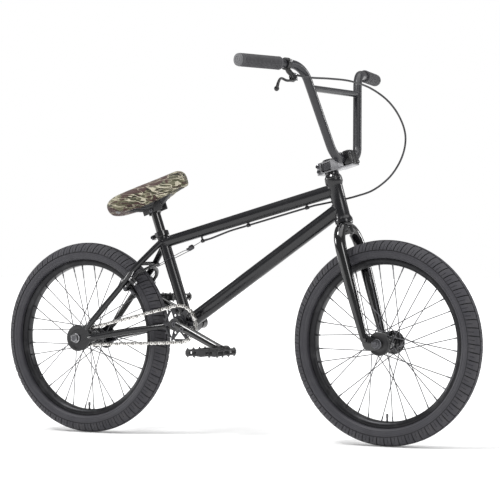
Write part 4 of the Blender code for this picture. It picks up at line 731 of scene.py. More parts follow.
def valve(end, centre):
    place = wheelPlace(centre)
    inner = wheel["rimInner"]
    shape = bmesh.new()
    foot = place @ Vector((0, inner + 0.004, 0))
    lathe(shape, [(0.0, -0.002), (0.0030, -0.002), (0.0030, 0.006), (0.0025, 0.0075),
                  (0.0025, 0.0150), (0.0, 0.0150)],
          alongAxis(foot, centre - foot), 16)
    finishPiece(end + "_valve_stem", shape, gripRubber, end + "_wheel", [end + "_inner_tube"])
    cap = bmesh.new()
    lathe(cap, [(0.0, 0.0140), (0.0033, 0.0140), (0.0033, 0.0215), (0.0022, 0.0235), (0, 0.0235)],
          alongAxis(foot, centre - foot), 12)
    finishPiece(end + "_valve_cap", cap, plugPlastic, end + "_wheel")


def axleEnds(end, body, centre, radius, hubWidth, extra):
    face = hubWidth / 2 + 0.006 + gap
    length = face + 0.012
    shape = bmesh.new()
    profile = [(0, length), (radius - 0.0008, length), (radius, length - 0.0010)]
    for turn in range(9):   # threads at the end
        height = length - 0.0012 - turn * 0.0010
        profile += [(radius, height), (radius - 0.0006, height - 0.0005)]
    profile += [(radius, length - 0.0112)]
    lathe(shape, mirrored(profile), wheelPlace(centre), 24)
    finishPiece(end + "_axle_rod", shape, darkSteel, body, [end + "_axle"], 25)
    for name, sign in (("right", -1), ("left", 1)):
        nut = bmesh.new()
        hexNut(nut, alongAxis(centre + side * sign * face, side * sign), 0.0112, 0.0098,
               0.0130, radius + 0.0002)
        finishPiece("%s_%s_hex_nut" % (name, end), nut,
                    nutSteel if end == "rear" else darkSteel, body,
                    ["%s_%s_nut" % (name, end)], 30)
    for sign, reach, disc, thick, node in extra:
        guard = bmesh.new()
        lathe(guard, [
            (radius + 0.0035, hubWidth / 2 - gap), (radius + 0.0035, disc + 0.0004),
            (reach * 0.45, disc + 0.0002), (reach * 0.52, disc - 0.0006),
            (reach * 0.80, disc - 0.0006), (reach * 0.86, disc), (reach - 0.0020, disc),
            (reach, disc - thick * 0.45), (reach, disc - thick * 0.7),
            (reach - 0.0008, disc - thick), (radius + gap, disc - thick),
            (radius + gap, hubWidth / 2 - gap)],
            alongAxis(centre, side * sign), 48, ring=True)
        finishPiece(node + "_disc", guard, guardPlastic, body, [node], 30)


# each hub: its right and left flanges, its right and left ends, and its bore
frontHub = (-0.0335, 0.0335, -0.0410, 0.0410, 0.0051)
rearHub = (-0.0240, 0.0335, -0.0305, 0.0445, 0.0073)
tyre("front", frontAxle, frontRubber)
tyre("rear", rearAxle, rearRubber)
rim("front", frontAxle, frontRimMetal)
rim("rear", rearAxle, rearRimMetal)
spokeSet("front", frontAxle, frontHub[:2])
spokeSet("rear", rearAxle, rearHub[:2])
hubShell("front", frontAxle, *frontHub)
hubShell("rear", rearAxle, *rearHub)
valve("front", frontAxle)
valve("rear", rearAxle)
axleEnds("front", "steering", frontAxle, 0.0048, 0.100,
         [(-1, 0.0300, 0.0445, 0.0030, "right_front_guard"),
          (1, 0.0300, 0.0445, 0.0030, "left_front_guard")])
axleEnds("rear", "frame", rearAxle, 0.0070, 0.110,
         [(-1, 0.0355, 0.0541, 0.0024, "rear_hub_guard")])
print("wheels made")

# frame
tubes = {"headLength": 0.1146, "headRadius": 0.0190, "cup": 0.0227, "seatLength": 0.2562,
         "seatRadius": 0.0150, "topDrop": 0.0300, "headDrop": 0.0275, "topRadii": (0.0145, 0.0172),
         "downRadius": 0.0186, "downRise": 0.038, "shellHalf": 0.034, "shellRadius": 0.0235,
         "stay": 0.0080, "chainstay": 0.0085, "dropoutSide": 0.058, "brakeSide": 0.0437,
         "brakeRise": 0.188, "cableStop": 0.117, "stopBelow": 0.0105, "guides": (0.262, 0.440),
         "guideBelow": 0.0058}


def headPoint(rise):
    return steerFoot + steerUp * rise


def seatPoint(rise):
    return crankCentre + seatUp * rise


seatTop = seatPoint(tubes["seatLength"])
topStart = seatPoint(tubes["seatLength"] - tubes["topDrop"])
topEnd = headPoint(tubes["headLength"] - tubes["headDrop"])
topDir = (topEnd - topStart).normalized()
downEnd = headPoint(tubes["downRise"])
downDir = (downEnd - crankCentre).normalized()
stayFoot = rearAxle + Vector((0.035, 0, 0.0275))
stayHead = seatPoint(tubes["seatLength"] - 0.0260)
stayLength = (stayHead - stayFoot).length


def stayPoint(rise, ahead, out):
    return stayFoot + brakeUp * rise + brakeAhead * ahead + side * out


def topTubePoint(ahead, below):
    low, high = tubes["topRadii"]
    radius = low + (high - low) * ahead / (topEnd - topStart).length
    down = Vector((topDir.z, 0, -topDir.x))
    return topStart + topDir * ahead + down * (radius + below)


def frameTubes():
    shape = bmesh.new()
    top, cup, mid = tubes["headLength"], tubes["cup"], tubes["headRadius"]
    lower = [(mid, 0.0180), (mid + 0.0010, 0.0150), (cup - 0.0006, 0.0100), (cup, 0.0085),
             (cup, 0.0008), (cup - 0.0008, 0), (0.0160, 0)]
    upper = [(radius, top - height) for radius, height in lower[::-1]]
    lathe(shape, upper + lower, steerMatrix, 56, ring=True)
    sweep(shape, [topStart, topEnd], list(tubes["topRadii"]), 44)
    sweep(shape, [crankCentre, downEnd], tubes["downRadius"], 44)
    tall, wide = tubes["seatLength"], tubes["seatRadius"]
    lathe(shape, [(0.0130, tall), (wide - 0.0006, tall), (wide, tall - 0.0006), (wide, 0.0),
                  (0.0130, 0.0)], alongAxis(crankCentre, seatUp), 44, ring=True)
    half, outer = tubes["shellHalf"], tubes["shellRadius"]
    lathe(shape, mirrored([(0.0208, half), (outer - 0.0008, half), (outer, half - 0.0008)]),
          wheelPlace(crankCentre), 48, ring=True)
    finishPiece("frame_tubes", shape, framePaint, "frame", ["frame"], 35)
    beads = bmesh.new()
    for start, toward, radius, foot, axis, around in (
            (topEnd - topDir * 0.08, topDir, tubes["topRadii"][1], steerFoot, steerUp, mid),
            (downEnd - downDir * 0.08, downDir, tubes["downRadius"], steerFoot, steerUp, mid),
            (topStart + topDir * 0.08, -topDir, tubes["topRadii"][0], crankCentre, seatUp, wide),
            (crankCentre + downDir * 0.09, -downDir, tubes["downRadius"], crankCentre, side, outer),
            (crankCentre + seatUp * 0.09, -seatUp, wide, crankCentre, side, outer)):
        weld(beads, start, toward, radius, foot, axis, around)
    finishPiece("frame_welds", beads, framePaint, "frame", (), 60)


def stays():
    shape = bmesh.new()
    out = tubes["dropoutSide"]
    for sign in (-1, 1):
        sweep(shape, smoothLine([
            crankCentre + Vector((-0.016, sign * 0.0230, -0.002)),
            crankCentre + Vector((-0.046, sign * 0.0328, -0.0062)),
            crankCentre + Vector((-0.086, sign * 0.0425, -0.0114)),
            crankCentre + Vector((-0.170, sign * 0.0500, -0.0222)),
            rearAxle + Vector((0.070, sign * (out + 0.0003), 0.0060)),
            rearAxle + Vector((0.046, sign * (out + 0.0005), 0.0025)),
            rearAxle + Vector((0.039, sign * (out + 0.0005), 0.0016))], 40),
            [tubes["chainstay"]] * 37 + [0.0080, 0.0068, 0.0045], 24)
        neck = tubes["brakeSide"]
        sweep(shape, smoothLine([
            stayPoint(-0.006, 0, sign * out), stayPoint(0.004, 0, sign * out),
            stayPoint(0.030, 0, sign * out), stayPoint(tubes["brakeRise"] - 0.03, 0, sign * neck),
            stayPoint(tubes["brakeRise"] + 0.024, 0, sign * neck),
            stayPoint(stayLength - 0.030, 0, sign * 0.0215),
            stayPoint(stayLength - 0.002, 0, sign * 0.0105)], 44),
            [0.0045, 0.0068] + [tubes["stay"]] * 42, 24)
        outline = circlePoints(0.0190, 7, (0, 0), math.radians(100), math.radians(162))
        outline += circlePoints(0.0190, 7, (0, 0), math.radians(198), math.radians(260))
        outline += [(0.010, -0.0300), (0.020, -0.0315), (0.029, -0.028), (0.036, -0.0185),
                    (0.045, -0.0095), (0.054, -0.0062), (0.054, 0.0095), (0.043, 0.0125),
                    (0.0385, 0.0210), (0.044, 0.0330), (0.049, 0.0400), (0.037, 0.0410),
                    (0.026, 0.0330), (0.014, 0.0255)]
        slotHalf = 0.0072
        slot = [(-0.0176, slotHalf), (0.0, slotHalf)]
        slot += circlePoints(slotHalf, 8, (0, 0), math.pi / 2, -math.pi / 2)
        slot += [(0.0, -slotHalf), (-0.0176, -slotHalf)]
        plate(shape, [outline[:7] + slot + outline[7:]], 0.006,
              Matrix.Translation(rearAxle + side * sign * out) @ uprightMatrix, 0.0007)
        lathe(shape, [(0, -0.002), (0.0070, -0.002), (0.0070, 0.0115), (0.0062, 0.0125),
                      (0, 0.0125)],
              alongAxis(stayPoint(tubes["brakeRise"], 0, sign * neck), brakeAhead), 24)
    bridgeRise = tubes["brakeRise"] + 0.045
    sweep(shape, [stayPoint(bridgeRise, 0, -0.038), stayPoint(bridgeRise, 0, 0.038)], 0.0050, 16)
    finishPiece("frame_stays", shape, framePaint, "frame", (), 35)


def guides():
    shape = bmesh.new()
    foot = topTubePoint(tubes["cableStop"], tubes["stopBelow"])
    sweep(shape, [topTubePoint(tubes["cableStop"], -0.003), foot], [0.0030, 0.0024], 12)
    lathe(shape, mirrored([(0.0012, 0.0040), (0.0040, 0.0040), (0.0048, 0.0032)]),
          alongAxis(foot, topDir), 20, ring=True)
    for ahead in tubes["guides"]:
        foot = topTubePoint(ahead, tubes["guideBelow"])
        lathe(shape, mirrored([(0.0030, 0.0042), (0.0046, 0.0042)]), alongAxis(foot, topDir), 20,
              ring=True)
        sweep(shape, [topTubePoint(ahead, -0.002), topTubePoint(ahead, 0.0022)],
              [0.0036, 0.0026], 12)
    finishPiece("cable_guides", shape, framePaint, "frame", (), 35)


def headsetAndClamp():
    bearing = bmesh.new()
    for low, high in ((0.0004, 0.007), (tubes["headLength"] - 0.007, tubes["headLength"] - 0.0004)):
        lathe(bearing, [(0.0150, high), (0.0196, high), (0.0196, low), (0.0150, low)],
              steerMatrix, 40, ring=True)
    finishPiece("headset_bearings", bearing, brightSteel, "frame",
                ["upper_headset_bearing", "lower_headset_bearing"])
    races = bmesh.new()
    for sign in (-1, 1):
        lathe(races, [(0.0100, 0.0335), (0.0160, 0.0330), (0.0202, 0.0336), (0.0202, 0.0250),
                      (0.0100, 0.0250)], alongAxis(crankCentre, side * sign), 40, ring=True)
    finishPiece("bottom_bearings", races, darkSteel, "frame",
                ["right_bb_bearing", "left_bb_bearing"])
    shape = bmesh.new()
    low = tubes["seatLength"] - 0.014
    lathe(shape, [(0.0153, 0.0140), (0.0185, 0.0140), (0.0193, 0.0132), (0.0193, 0.0008),
                  (0.0186, 0.0), (0.0153, 0.0)], alongAxis(seatPoint(low), seatUp), 48, ring=True)
    back = Vector((-seatUp.z, 0, seatUp.x))
    centre = seatPoint(low + 0.007)
    for sign in (-1, 1):
        block(shape, (0.0130, 0.0066, 0.0122),
              frameMatrix(centre + back * 0.0235 + side * sign * 0.0044, back, side, seatUp),
              0.0016)
    finishPiece("seat_clamp_collar", shape, glossPaint, "frame", ["seat_clamp"], 35)
    bolt = bmesh.new()
    place = centre + back * 0.0248
    hexSocket(bolt, alongAxis(place - side * 0.0082, -side), 0.0046, 0.0050)
    sweep(bolt, [place - side * 0.008, place + side * 0.0095], 0.0028, 14)
    finishPiece("seat_clamp_screw", bolt, darkSteel, "frame", ["seat_clamp_bolt"], 30)


frameTubes()
stays()
guides()
headsetAndClamp()
print("frame made")

# fork, headset and stem
forkSizes = {"leg": 0.0145, "tip": 0.0092, "offset": 0.0312, "drop": 0.3211, "side": 0.0545}
stemSizes = {"bottom": 0.1326, "top": 0.1619, "half": 0.0195, "clampHalf": 0.0250,
             "rear": 0.0330, "face": 0.0490, "front": 0.0725, "barZ": 0.1529,
             "clampRise": 0.0185, "boltRise": 0.0118, "boltSide": 0.0170, "windowBack": -0.0140,
             "windowFront": 0.0100}


def forkPiece():
    shape = bmesh.new()
    out, drop = forkSizes["side"], forkSizes["drop"]
    lathe(shape, [(0, 0.1600), (0.0143, 0.1600), (0.0143, -gap), (0.0209, -gap),
                  (0.0214, -0.0010), (0.0214, -0.0040), (0.0200, -0.0070), (0.0182, -0.0110),
                  (0.0180, -0.0300), (0.0165, -0.0325), (0, -0.0330)], steerMatrix, 48)
    for sign in (-1, 1):
        line = smoothLine([(0, sign * 0.006, -0.0130), (0, sign * 0.020, -0.0150),
                           (0, sign * 0.034, -0.0220), (0, sign * 0.0465, -0.0380),
                           (0, sign * (out - 0.0015), -0.060), (0, sign * out, -0.095),
                           (0, sign * out, -drop + 0.110), (0, sign * out, -drop + 0.060),
                           (0, sign * out, -drop + 0.018), (0, sign * out, -drop + 0.012)], 60)
        radii = []
        for point in line:
            share = max(0.0, min(1.0, (point.z + 0.17) / -(drop - 0.17 - 0.014)))
            radii.append(forkSizes["leg"] + (forkSizes["tip"] - forkSizes["leg"]) * share ** 1.3)
        radii[-1] = 0.006
        sweep(shape, [steerMatrix @ point for point in line], radii, 36)
        outline = circlePoints(0.0142, 16, (forkSizes["offset"], -drop), math.radians(-100),
                               math.radians(75))[1:]
        outline += [(0.0260, -drop + 0.0170), (0.0150, -drop + 0.0230), (0.0060, -drop + 0.0400),
                    (-0.0040, -drop + 0.0400), (-0.0078, -drop + 0.0260),
                    (-0.0080, -drop + 0.0040), (-0.0030, -drop - 0.0060),
                    (0.0100, -drop - 0.0125), (0.0255, -drop - 0.0142)]
        plate(shape, [outline], 0.006,
              steerMatrix @ Matrix.Translation((0, sign * 0.053, 0)) @ uprightMatrix, 0.0008)
    finishPiece("fork_body", shape, glossPaint, "steering", ["fork"], 35)


def headsetCaps():
    low = tubes["headLength"] + gap
    shape = bmesh.new()
    lathe(shape, [(0.0146, low), (0.0218, low), (0.0223, low + 0.0008), (0.0223, low + 0.0030),
                  (0.0219, low + 0.0042), (0.0186, 0.1252), (0.0180, 0.1260), (0.0146, 0.1260)],
          steerMatrix, 56, ring=True)
    lathe(shape, [(0.0146, 0.1264), (0.0174, 0.1264), (0.0178, 0.1268), (0.0178, 0.1318),
                  (0.0174, 0.1323), (0.0146, 0.1323)], steerMatrix, 48, ring=True)
    finishPiece("headset_cone", shape, glossPaint, "steering", ["headset_cap"], 32)
    cap = bmesh.new()
    top = stemSizes["top"]
    lathe(cap, [(0, top + 0.0030), (0.0040, top + 0.0030), (0.0052, top + 0.0048),
                (0.0120, top + 0.0050), (0.0150, top + 0.0044), (0.0165, top + 0.0028),
                (0.0165, top + gap), (0, top + gap)], steerMatrix, 48)
    hexSocket(cap, steerMatrix @ Matrix.Translation((0, 0, top + 0.0020)), 0.0042, 0.0030)
    finishPiece("top_cap", cap, glossPaint, "steering", ["compression_cap"], 32)


def stemPieces():
    shape = bmesh.new()
    s = stemSizes
    height = s["top"] - s["bottom"]
    mid = (s["top"] + s["bottom"]) / 2
    front = 0.037
    shift = (front - s["rear"]) / 2
    own = bmesh.new()
    bmesh.ops.create_cube(own, size=1.0)
    bmesh.ops.scale(own, vec=(s["rear"] + front, s["half"] * 2, height), verts=own.verts)
    for vert in own.verts:   # the rear narrows a little towards the top
        if vert.co.x < 0 and vert.co.z > 0:
            vert.co.x += 0.004
    rearEdges = [edge for edge in own.edges if all(v.co.x < 0 for v in edge.verts)
                 and abs(edge.verts[0].co.y - edge.verts[1].co.y) < 0.001]
    roundEdges(own, rearEdges, 0.0060, 4)
    for face in [face for face in own.faces if abs(face.normal.y) > 0.95]:
        bmesh.ops.inset_region(own, faces=[face], thickness=0.0055)
        low, high = s["windowBack"] - shift, s["windowFront"] - shift
        for vert in face.verts:   # a window that leans, wider below
            vert.co.x = (low if vert.co.x < 0 else high) + (0.003 if vert.co.z > 0 else 0.0)
        bmesh.ops.inset_region(own, faces=[face], thickness=0.0004, depth=-0.0060)
    own.normal_update()
    sharpEdges = [edge for edge in own.edges if len(edge.link_faces) == 2
                  and edge.calc_face_angle(0) > math.radians(50)]
    roundEdges(own, sharpEdges, 0.0008)
    join(shape, own, steerMatrix @ Matrix.Translation((shift, 0, mid)))
    clampLow = 0.034
    block(shape, (s["face"] - clampLow, s["clampHalf"] * 2, s["clampRise"] * 2),
          steerMatrix @ Matrix.Translation(((s["face"] + clampLow) / 2, 0, s["barZ"])), 0.0030, 3)
    block(shape, (s["front"] - 0.030, s["clampHalf"] * 2 - 0.006, 0.0042),   # the lower lip
          steerMatrix @ Matrix.Translation(((s["front"] + 0.026) / 2, 0,
                                            s["barZ"] - s["clampRise"] - 0.0010)), 0.0016)
    finishPiece("stem_body", shape, stemMetal, "steering", ["stem"], 35)
    cap = bmesh.new()
    start = s["face"] + 0.0020
    block(cap, (s["front"] - start, s["clampHalf"] * 2, s["clampRise"] * 2),
          steerMatrix @ Matrix.Translation(((s["front"] + start) / 2, 0, s["barZ"])), 0.0060, 5)
    for out in (-0.0085, 0.0085):   # two ribs over the face of the cap
        block(cap, (s["front"] - start, 0.0035, s["clampRise"] * 2 - 0.002),
              steerMatrix @ Matrix.Translation(((s["front"] + start) / 2 + 0.0012, out, s["barZ"])),
              0.0012)
    for rise in (-s["boltRise"], s["boltRise"]):   # raised pads round the screws
        for out in (-s["boltSide"], s["boltSide"]):
            spot = Matrix.Translation((s["front"] - 0.0040, out, s["barZ"] + rise))
            lathe(cap, [(0, 0.0046), (0.0052, 0.0046), (0.0058, 0.0038), (0.0058, -0.004),
                        (0, -0.004)],
                  steerMatrix @ spot @ Matrix.Rotation(math.radians(90), 4, "Y"), 24)
    finishPiece("stem_cap", cap, brakePaint, "steering", ["stem_front_cap"], 35)
    bolts = bmesh.new()
    turnAhead = Matrix.Rotation(math.radians(90), 4, "Y")
    turnSide = Matrix.Rotation(math.radians(90), 4, "X")
    for rise in (-s["boltRise"], s["boltRise"]):
        for out in (-s["boltSide"], s["boltSide"]):
            spot = Matrix.Translation((s["front"] - 0.0032, out, s["barZ"] + rise))
            hexSocket(bolts, steerMatrix @ spot @ turnAhead, 0.0040, 0.0040)
    for rise in (-0.0065, 0.0070):   # the two pinch screws behind the steerer
        spot = Matrix.Translation((-s["rear"] + 0.0075, -s["half"] + 0.0005, mid + rise))
        hexSocket(bolts, steerMatrix @ spot @ turnSide, 0.0042, 0.0036)
    for sign in (-1, 1):   # dark sheets over the windows: painted shade of the hollow middle
        block(bolts, (s["windowFront"] - s["windowBack"] - 0.0010, 0.0010, height - 0.0125),
              steerMatrix @ Matrix.Translation(((s["windowFront"] + s["windowBack"] + 0.003) / 2,
                                                sign * (s["half"] - 0.0014), mid)), 0.0)
    # a thin dark strip down the middle of the rear: painted shade of the clamp's slit
    block(bolts, (0.0012, 0.0020, height * 0.94),
          steerMatrix @ Matrix.Translation((-s["rear"] + 0.0012, 0, mid)), 0.0)
    finishPiece("stem_screws_and_painted_shade", bolts, darkSteel, "steering", (), 30)


forkPiece()
headsetCaps()
stemPieces()
print("fork and stem made")

# handlebar, grips and lever
bar = {"radius": 0.0111, "lower": (0.0484, 0.0620, 0.1529), "upper": (0.0690, 0.1500, 0.3835),
       "end": (0.0150, 0.3660, 0.3988), "bends": (0.062, 0.050), "crossRise": 0.3276,
       "crossRadius": 0.0080, "gripLength": 0.140, "gripRadius": 0.0165, "ribs": 26}


def barPoint(point, sign):
    return steerMatrix @ Vector((point[0], point[1] * sign, point[2]))


def handlebar():
    shape = bmesh.new()
    corners = [barPoint(bar["end"], -1), barPoint(bar["upper"], -1), barPoint(bar["lower"], -1),
               barPoint(bar["lower"], 1), barPoint(bar["upper"], 1), barPoint(bar["end"], 1)]
    big, small = bar["bends"]
    sweep(shape, rounded(corners, [big, small, small, big], 14), bar["radius"], 32)
    low, high = Vector(bar["lower"]), Vector(bar["upper"])
    joint = low.lerp(high, (bar["crossRise"] - low.z) / (high.z - low.z))
    ends = [barPoint(joint, sign) for sign in (-1, 1)]
    sweep(shape, ends, bar["crossRadius"], 28)
    for sign, place in ((-1, ends[0]), (1, ends[1])):
        upright = barPoint(high, sign) - barPoint(low, sign)
        weld(shape, place - side * sign * 0.05, side * sign, bar["crossRadius"], place, upright,
             bar["radius"], 0.0013, 0.0003)
    finishPiece("handlebar_tube", shape, barPaint, "steering", ["handlebar"], 35)


def grips():
    for name, sign in (("right", -1), ("left", 1)):
        end = barPoint(bar["end"], sign)
        inward = (barPoint(bar["upper"], sign) - end).normalized()
        length, outer = bar["gripLength"], bar["gripRadius"]
        profile = [(0.0113, 0.0005), (outer - 0.0022, 0.0005), (outer - 0.0004, 0.0022),
                   (outer - 0.0004, 0.0085), (outer - 0.0014, 0.0092)]
        ribs = bar["ribs"]
        start, stop = 0.0110, length - 0.0095
        for index in range(ribs):
            at = start + (stop - start) * index / ribs
            pitch = (stop - start) / ribs
            profile += [(outer - 0.0016, at), (outer - 0.0002, at + pitch * 0.22),
                        (outer - 0.0002, at + pitch * 0.62), (outer - 0.0016, at + pitch * 0.84)]
        profile += [(outer - 0.0014, length - 0.0085), (outer, length - 0.0075),
                    (outer, length - 0.0020), (outer - 0.0014, length), (0.0113, length)]
        shape = bmesh.new()
        lathe(shape, profile, alongAxis(end, inward), 40, ring=True)
        finishPiece(name + "_grip_sleeve", shape, gripRubber, "steering", [name + "_grip"], 30)
        plug = bmesh.new()
        rings = [(0, 0.0030), (0.0022, 0.0030), (0.0030, 0.0040), (0.0052, 0.0040),
                 (0.0060, 0.0030), (0.0082, 0.0030), (0.0090, 0.00395), (0.0125, 0.0039),
                 (0.0150, 0.0026), (0.0155, 0.0012), (0.0155, gap), (0, gap)]
        lathe(plug, rings, alongAxis(end, -inward), 40)
        finishPiece(name + "_bar_end", plug, plugPlastic, "steering", [name + "_bar_plug"], 30)


leverSizes = {"station": 0.207, "reach": 0.038, "inboard": 0.016}
leverEnd = Vector((bar["end"][0], -bar["end"][1], bar["end"][2]))
leverCorner = Vector((bar["upper"][0], -bar["upper"][1], bar["upper"][2]))
leverOut = (leverEnd - leverCorner).normalized()
leverSpot = leverCorner.lerp(leverEnd, (leverSizes["station"] + leverCorner.y)
                             / (leverCorner.y - leverEnd.y))
leverUp = (Vector((0, 0, 1)) - leverOut * leverOut.z).normalized()
leverMatrix = steerMatrix @ frameMatrix(leverSpot, leverOut, leverUp.cross(leverOut), leverUp)


def leverPieces():
    shape = bmesh.new()
    across = alongAxis((0, 0, 0), (1, 0, 0))
    lathe(shape, mirrored([(0.0115, 0.0058), (0.0148, 0.0058), (0.0154, 0.0050)]),
          leverMatrix @ across, 36, ring=True)
    pivot = Vector((-leverSizes["inboard"], 0, -leverSizes["reach"]))
    sweep(shape, [leverMatrix @ Vector(p) for p in smoothLine(
        [(0.001, 0, -0.0130), (-0.004, 0, -0.0190), (-0.010, 0, -0.0250),
         (-0.0155, 0, -0.0320)], 10)],
        [0.0052, 0.0060, 0.0066, 0.0068, 0.0068, 0.0066, 0.0066, 0.0068, 0.0070, 0.0066], 20, 1.1)
    for sign in (-1, 1):   # the two cheeks that hold the pivot
        block(shape, (0.0150, 0.0036, 0.0150),
              leverMatrix @ Matrix.Translation(pivot + Vector((0.0005, sign * 0.0058, 0.0015))),
              0.0012)
    block(shape, (0.0080, 0.0100, 0.0075),
          leverMatrix @ Matrix.Translation((0.0010, 0.0130, 0.0020)), 0.0015)
    finishPiece("lever_clamp_body", shape, brakePaint, "steering", ["lever_bracket"], 35)
    barrel = bmesh.new()
    start, end = Vector((-0.0160, 0, -0.0247)), Vector((-0.0275, 0, -0.0265))
    axis = alongAxis(start, end - start)
    length = (end - start).length
    profile = [(0.0029, 0.0), (0.0029, 0.0020)]
    for index in range(6):
        at = 0.0022 + index * 0.0011
        profile += [(0.0038, at), (0.0038, at + 0.0006), (0.0034, at + 0.0008)]
    profile += [(0.0036, length - 0.0018), (0.0030, length), (0.0028, length), (0.0028, 0.0)]
    lathe(barrel, profile, leverMatrix @ axis, 24, ring=True)
    hexSocket(barrel, leverMatrix @ Matrix.Translation((0.0010, 0.0180, 0.0020))
              @ alongAxis((0, 0, 0), (0, 1, 0)), 0.0032, 0.0030)
    finishPiece("barrel_adjuster", barrel, brightSteel, "steering", (), 30)
    pin = bmesh.new()
    hexSocket(pin, leverMatrix @ alongAxis(pivot - side * 0.0076, -side), 0.0040, 0.0030)
    sweep(pin, [leverMatrix @ (pivot - side * 0.0080), leverMatrix @ (pivot + side * 0.0098)],
          0.0021, 14)
    finishPiece("lever_pin", pin, darkSteel, "steering", ["lever_pivot"], 30)
    blade = bmesh.new()
    line = smoothLine([(0, 0, 0), (0.012, 0, -0.0045), (0.027, 0, -0.0055), (0.044, 0, -0.0010),
                       (0.055, 0, -0.0090), (0.0655, 0, -0.0250)], 36)
    sweep(blade, [leverMatrix @ (pivot + point) for point in line],
          [0.0046 - 0.0010 * math.sin(math.pi * i / 35) for i in range(36)], 18, 0.80,
          leverMatrix.to_3x3() @ Vector((0, 1, 0)))
    ball = bmesh.new()
    bmesh.ops.create_uvsphere(ball, u_segments=24, v_segments=14, radius=0.0064)
    join(blade, ball, leverMatrix @ Matrix.Translation(pivot + Vector((0.0680, 0, -0.0285))))
    sweep(blade, [leverMatrix @ (pivot - side * 0.0031), leverMatrix @ (pivot + side * 0.0031)],
          0.0064, 24)
    finishPiece("lever_blade", blade, brakePaint, "brake_lever", ["brake_lever"], 35)


handlebar()
grips()
leverPieces()
print("handlebar made")

# drive
drive = {"line": 0.045, "pitch": 0.0127, "frontTeeth": 24, "rearTeeth": 9, "roller": 0.0038,
         "crank": 0.170, "angle": -22.5, "flare": 0.019, "inner": 0.0515, "boss": 0.0205}
# how far out from the middle of the bike a crank arm starts
armMiddle = drive["inner"] + drive["boss"] / 2


def pitchRadius(teeth):
    return drive["pitch"] / (2 * math.sin(math.pi / teeth))


def toothOutline(teeth, depth):
    # rounded valleys where the rollers sit, with blunt tips between them
    reach = pitchRadius(teeth)
    outline = []
    for tooth in range(teeth):
        for share, radius in ((-0.42, reach - drive["roller"] * 0.98), (-0.26, reach - 0.0022),
                              (-0.15, reach + depth * 0.6), (-0.06, reach + depth),
                              (0.06, reach + depth), (0.15, reach + depth * 0.6),
                              (0.26, reach - 0.0022), (0.42, reach - drive["roller"] * 0.98)):
            angle = (tooth + share) * math.tau / teeth
            outline.append((radius * math.cos(angle), radius * math.sin(angle)))
    return outline


def crankPlace(distance, sign=1, out=0.0):
    angle = math.radians(drive["angle"])
    ahead = Vector((math.cos(angle), 0, math.sin(angle)))
    return crankCentre + ahead * distance * sign + side * out


def sprocket():
    shape = bmesh.new()
    outlines = [toothOutline(drive["frontTeeth"], 0.0024), circlePoints(0.0101, 32)]
    for index in range(6):
        middleAngle = math.radians(60 * index + 30)
        window = []   # a rounded triangle with its base outwards
        for corner, radius in ((-0.36, 0.0395), (0.36, 0.0395), (0.0, 0.0225)):
            spot = (radius * math.cos(middleAngle + corner),
                    radius * math.sin(middleAngle + corner))
            facing = middleAngle + {-0.36: -0.55, 0.36: 0.55, 0.0: math.pi}[corner]
            window += circlePoints(0.0022, 6, spot, facing - 0.95, facing + 0.95)
        outlines.append(window)
        hole = math.radians(60 * index)
        outlines.append(circlePoints(0.0034, 16,
                                     (0.0262 * math.cos(hole), 0.0262 * math.sin(hole))))
    place = wheelPlace(crankCentre - side * drive["line"])
    plate(shape, outlines, 0.0030, place, 0.0003)
    lathe(shape, [(0.0100, -0.0515 + gap), (0.0160, -0.0515 + gap), (0.0168, -0.0500),
                  (0.0168, -0.0440), (0.0100, -0.0440)], wheelPlace(crankCentre), 40, ring=True)
    finishPiece("chainwheel", shape, barPaint, "cranks", ["sprocket"], 30)
    cog = bmesh.new()
    plate(cog, [toothOutline(drive["rearTeeth"], 0.0020), circlePoints(0.0074, 24)], 0.0030,
          wheelPlace(rearAxle - side * drive["line"]), 0.0003)
    lathe(cog, [(0.0074, -0.0490), (0.0118, -0.0490), (0.0126, -0.0482), (0.0126, -0.0320),
                (0.0074, -0.0320)], wheelPlace(rearAxle), 36, ring=True)
    finishPiece("driver_cog", cog, darkSteel, "driver", ["driver"], 30)


def chainPath():
    # the closed line through the pins, round both chainwheels
    big, small = pitchRadius(drive["frontTeeth"]), pitchRadius(drive["rearTeeth"])
    a = Vector((crankCentre.x, crankCentre.z))
    b = Vector((rearAxle.x, rearAxle.z))
    lean = math.atan2(b.y - a.y, b.x - a.x)
    opening = math.acos((big - small) / (b - a).length)
    points = []
    for index in range(121):
        angle = lean + opening - math.tau + (math.tau - 2 * opening) * index / 120
        points.append(a + Vector((math.cos(angle), math.sin(angle))) * big)
    for index in range(61):
        angle = lean - opening + 2 * opening * index / 60
        points.append(b + Vector((math.cos(angle), math.sin(angle))) * small)
    points.append(points[0])
    return points


def linkOutline(length, end, waist):
    # a link plate: two round ends with a narrower waist
    outline = []
    for sign, start in ((1, -78), (-1, 102)):
        outline += circlePoints(end, 7, (sign * length / 2, 0), math.radians(start),
                                math.radians(start + 182))
        outline.append((0.0, sign * waist))
    return outline


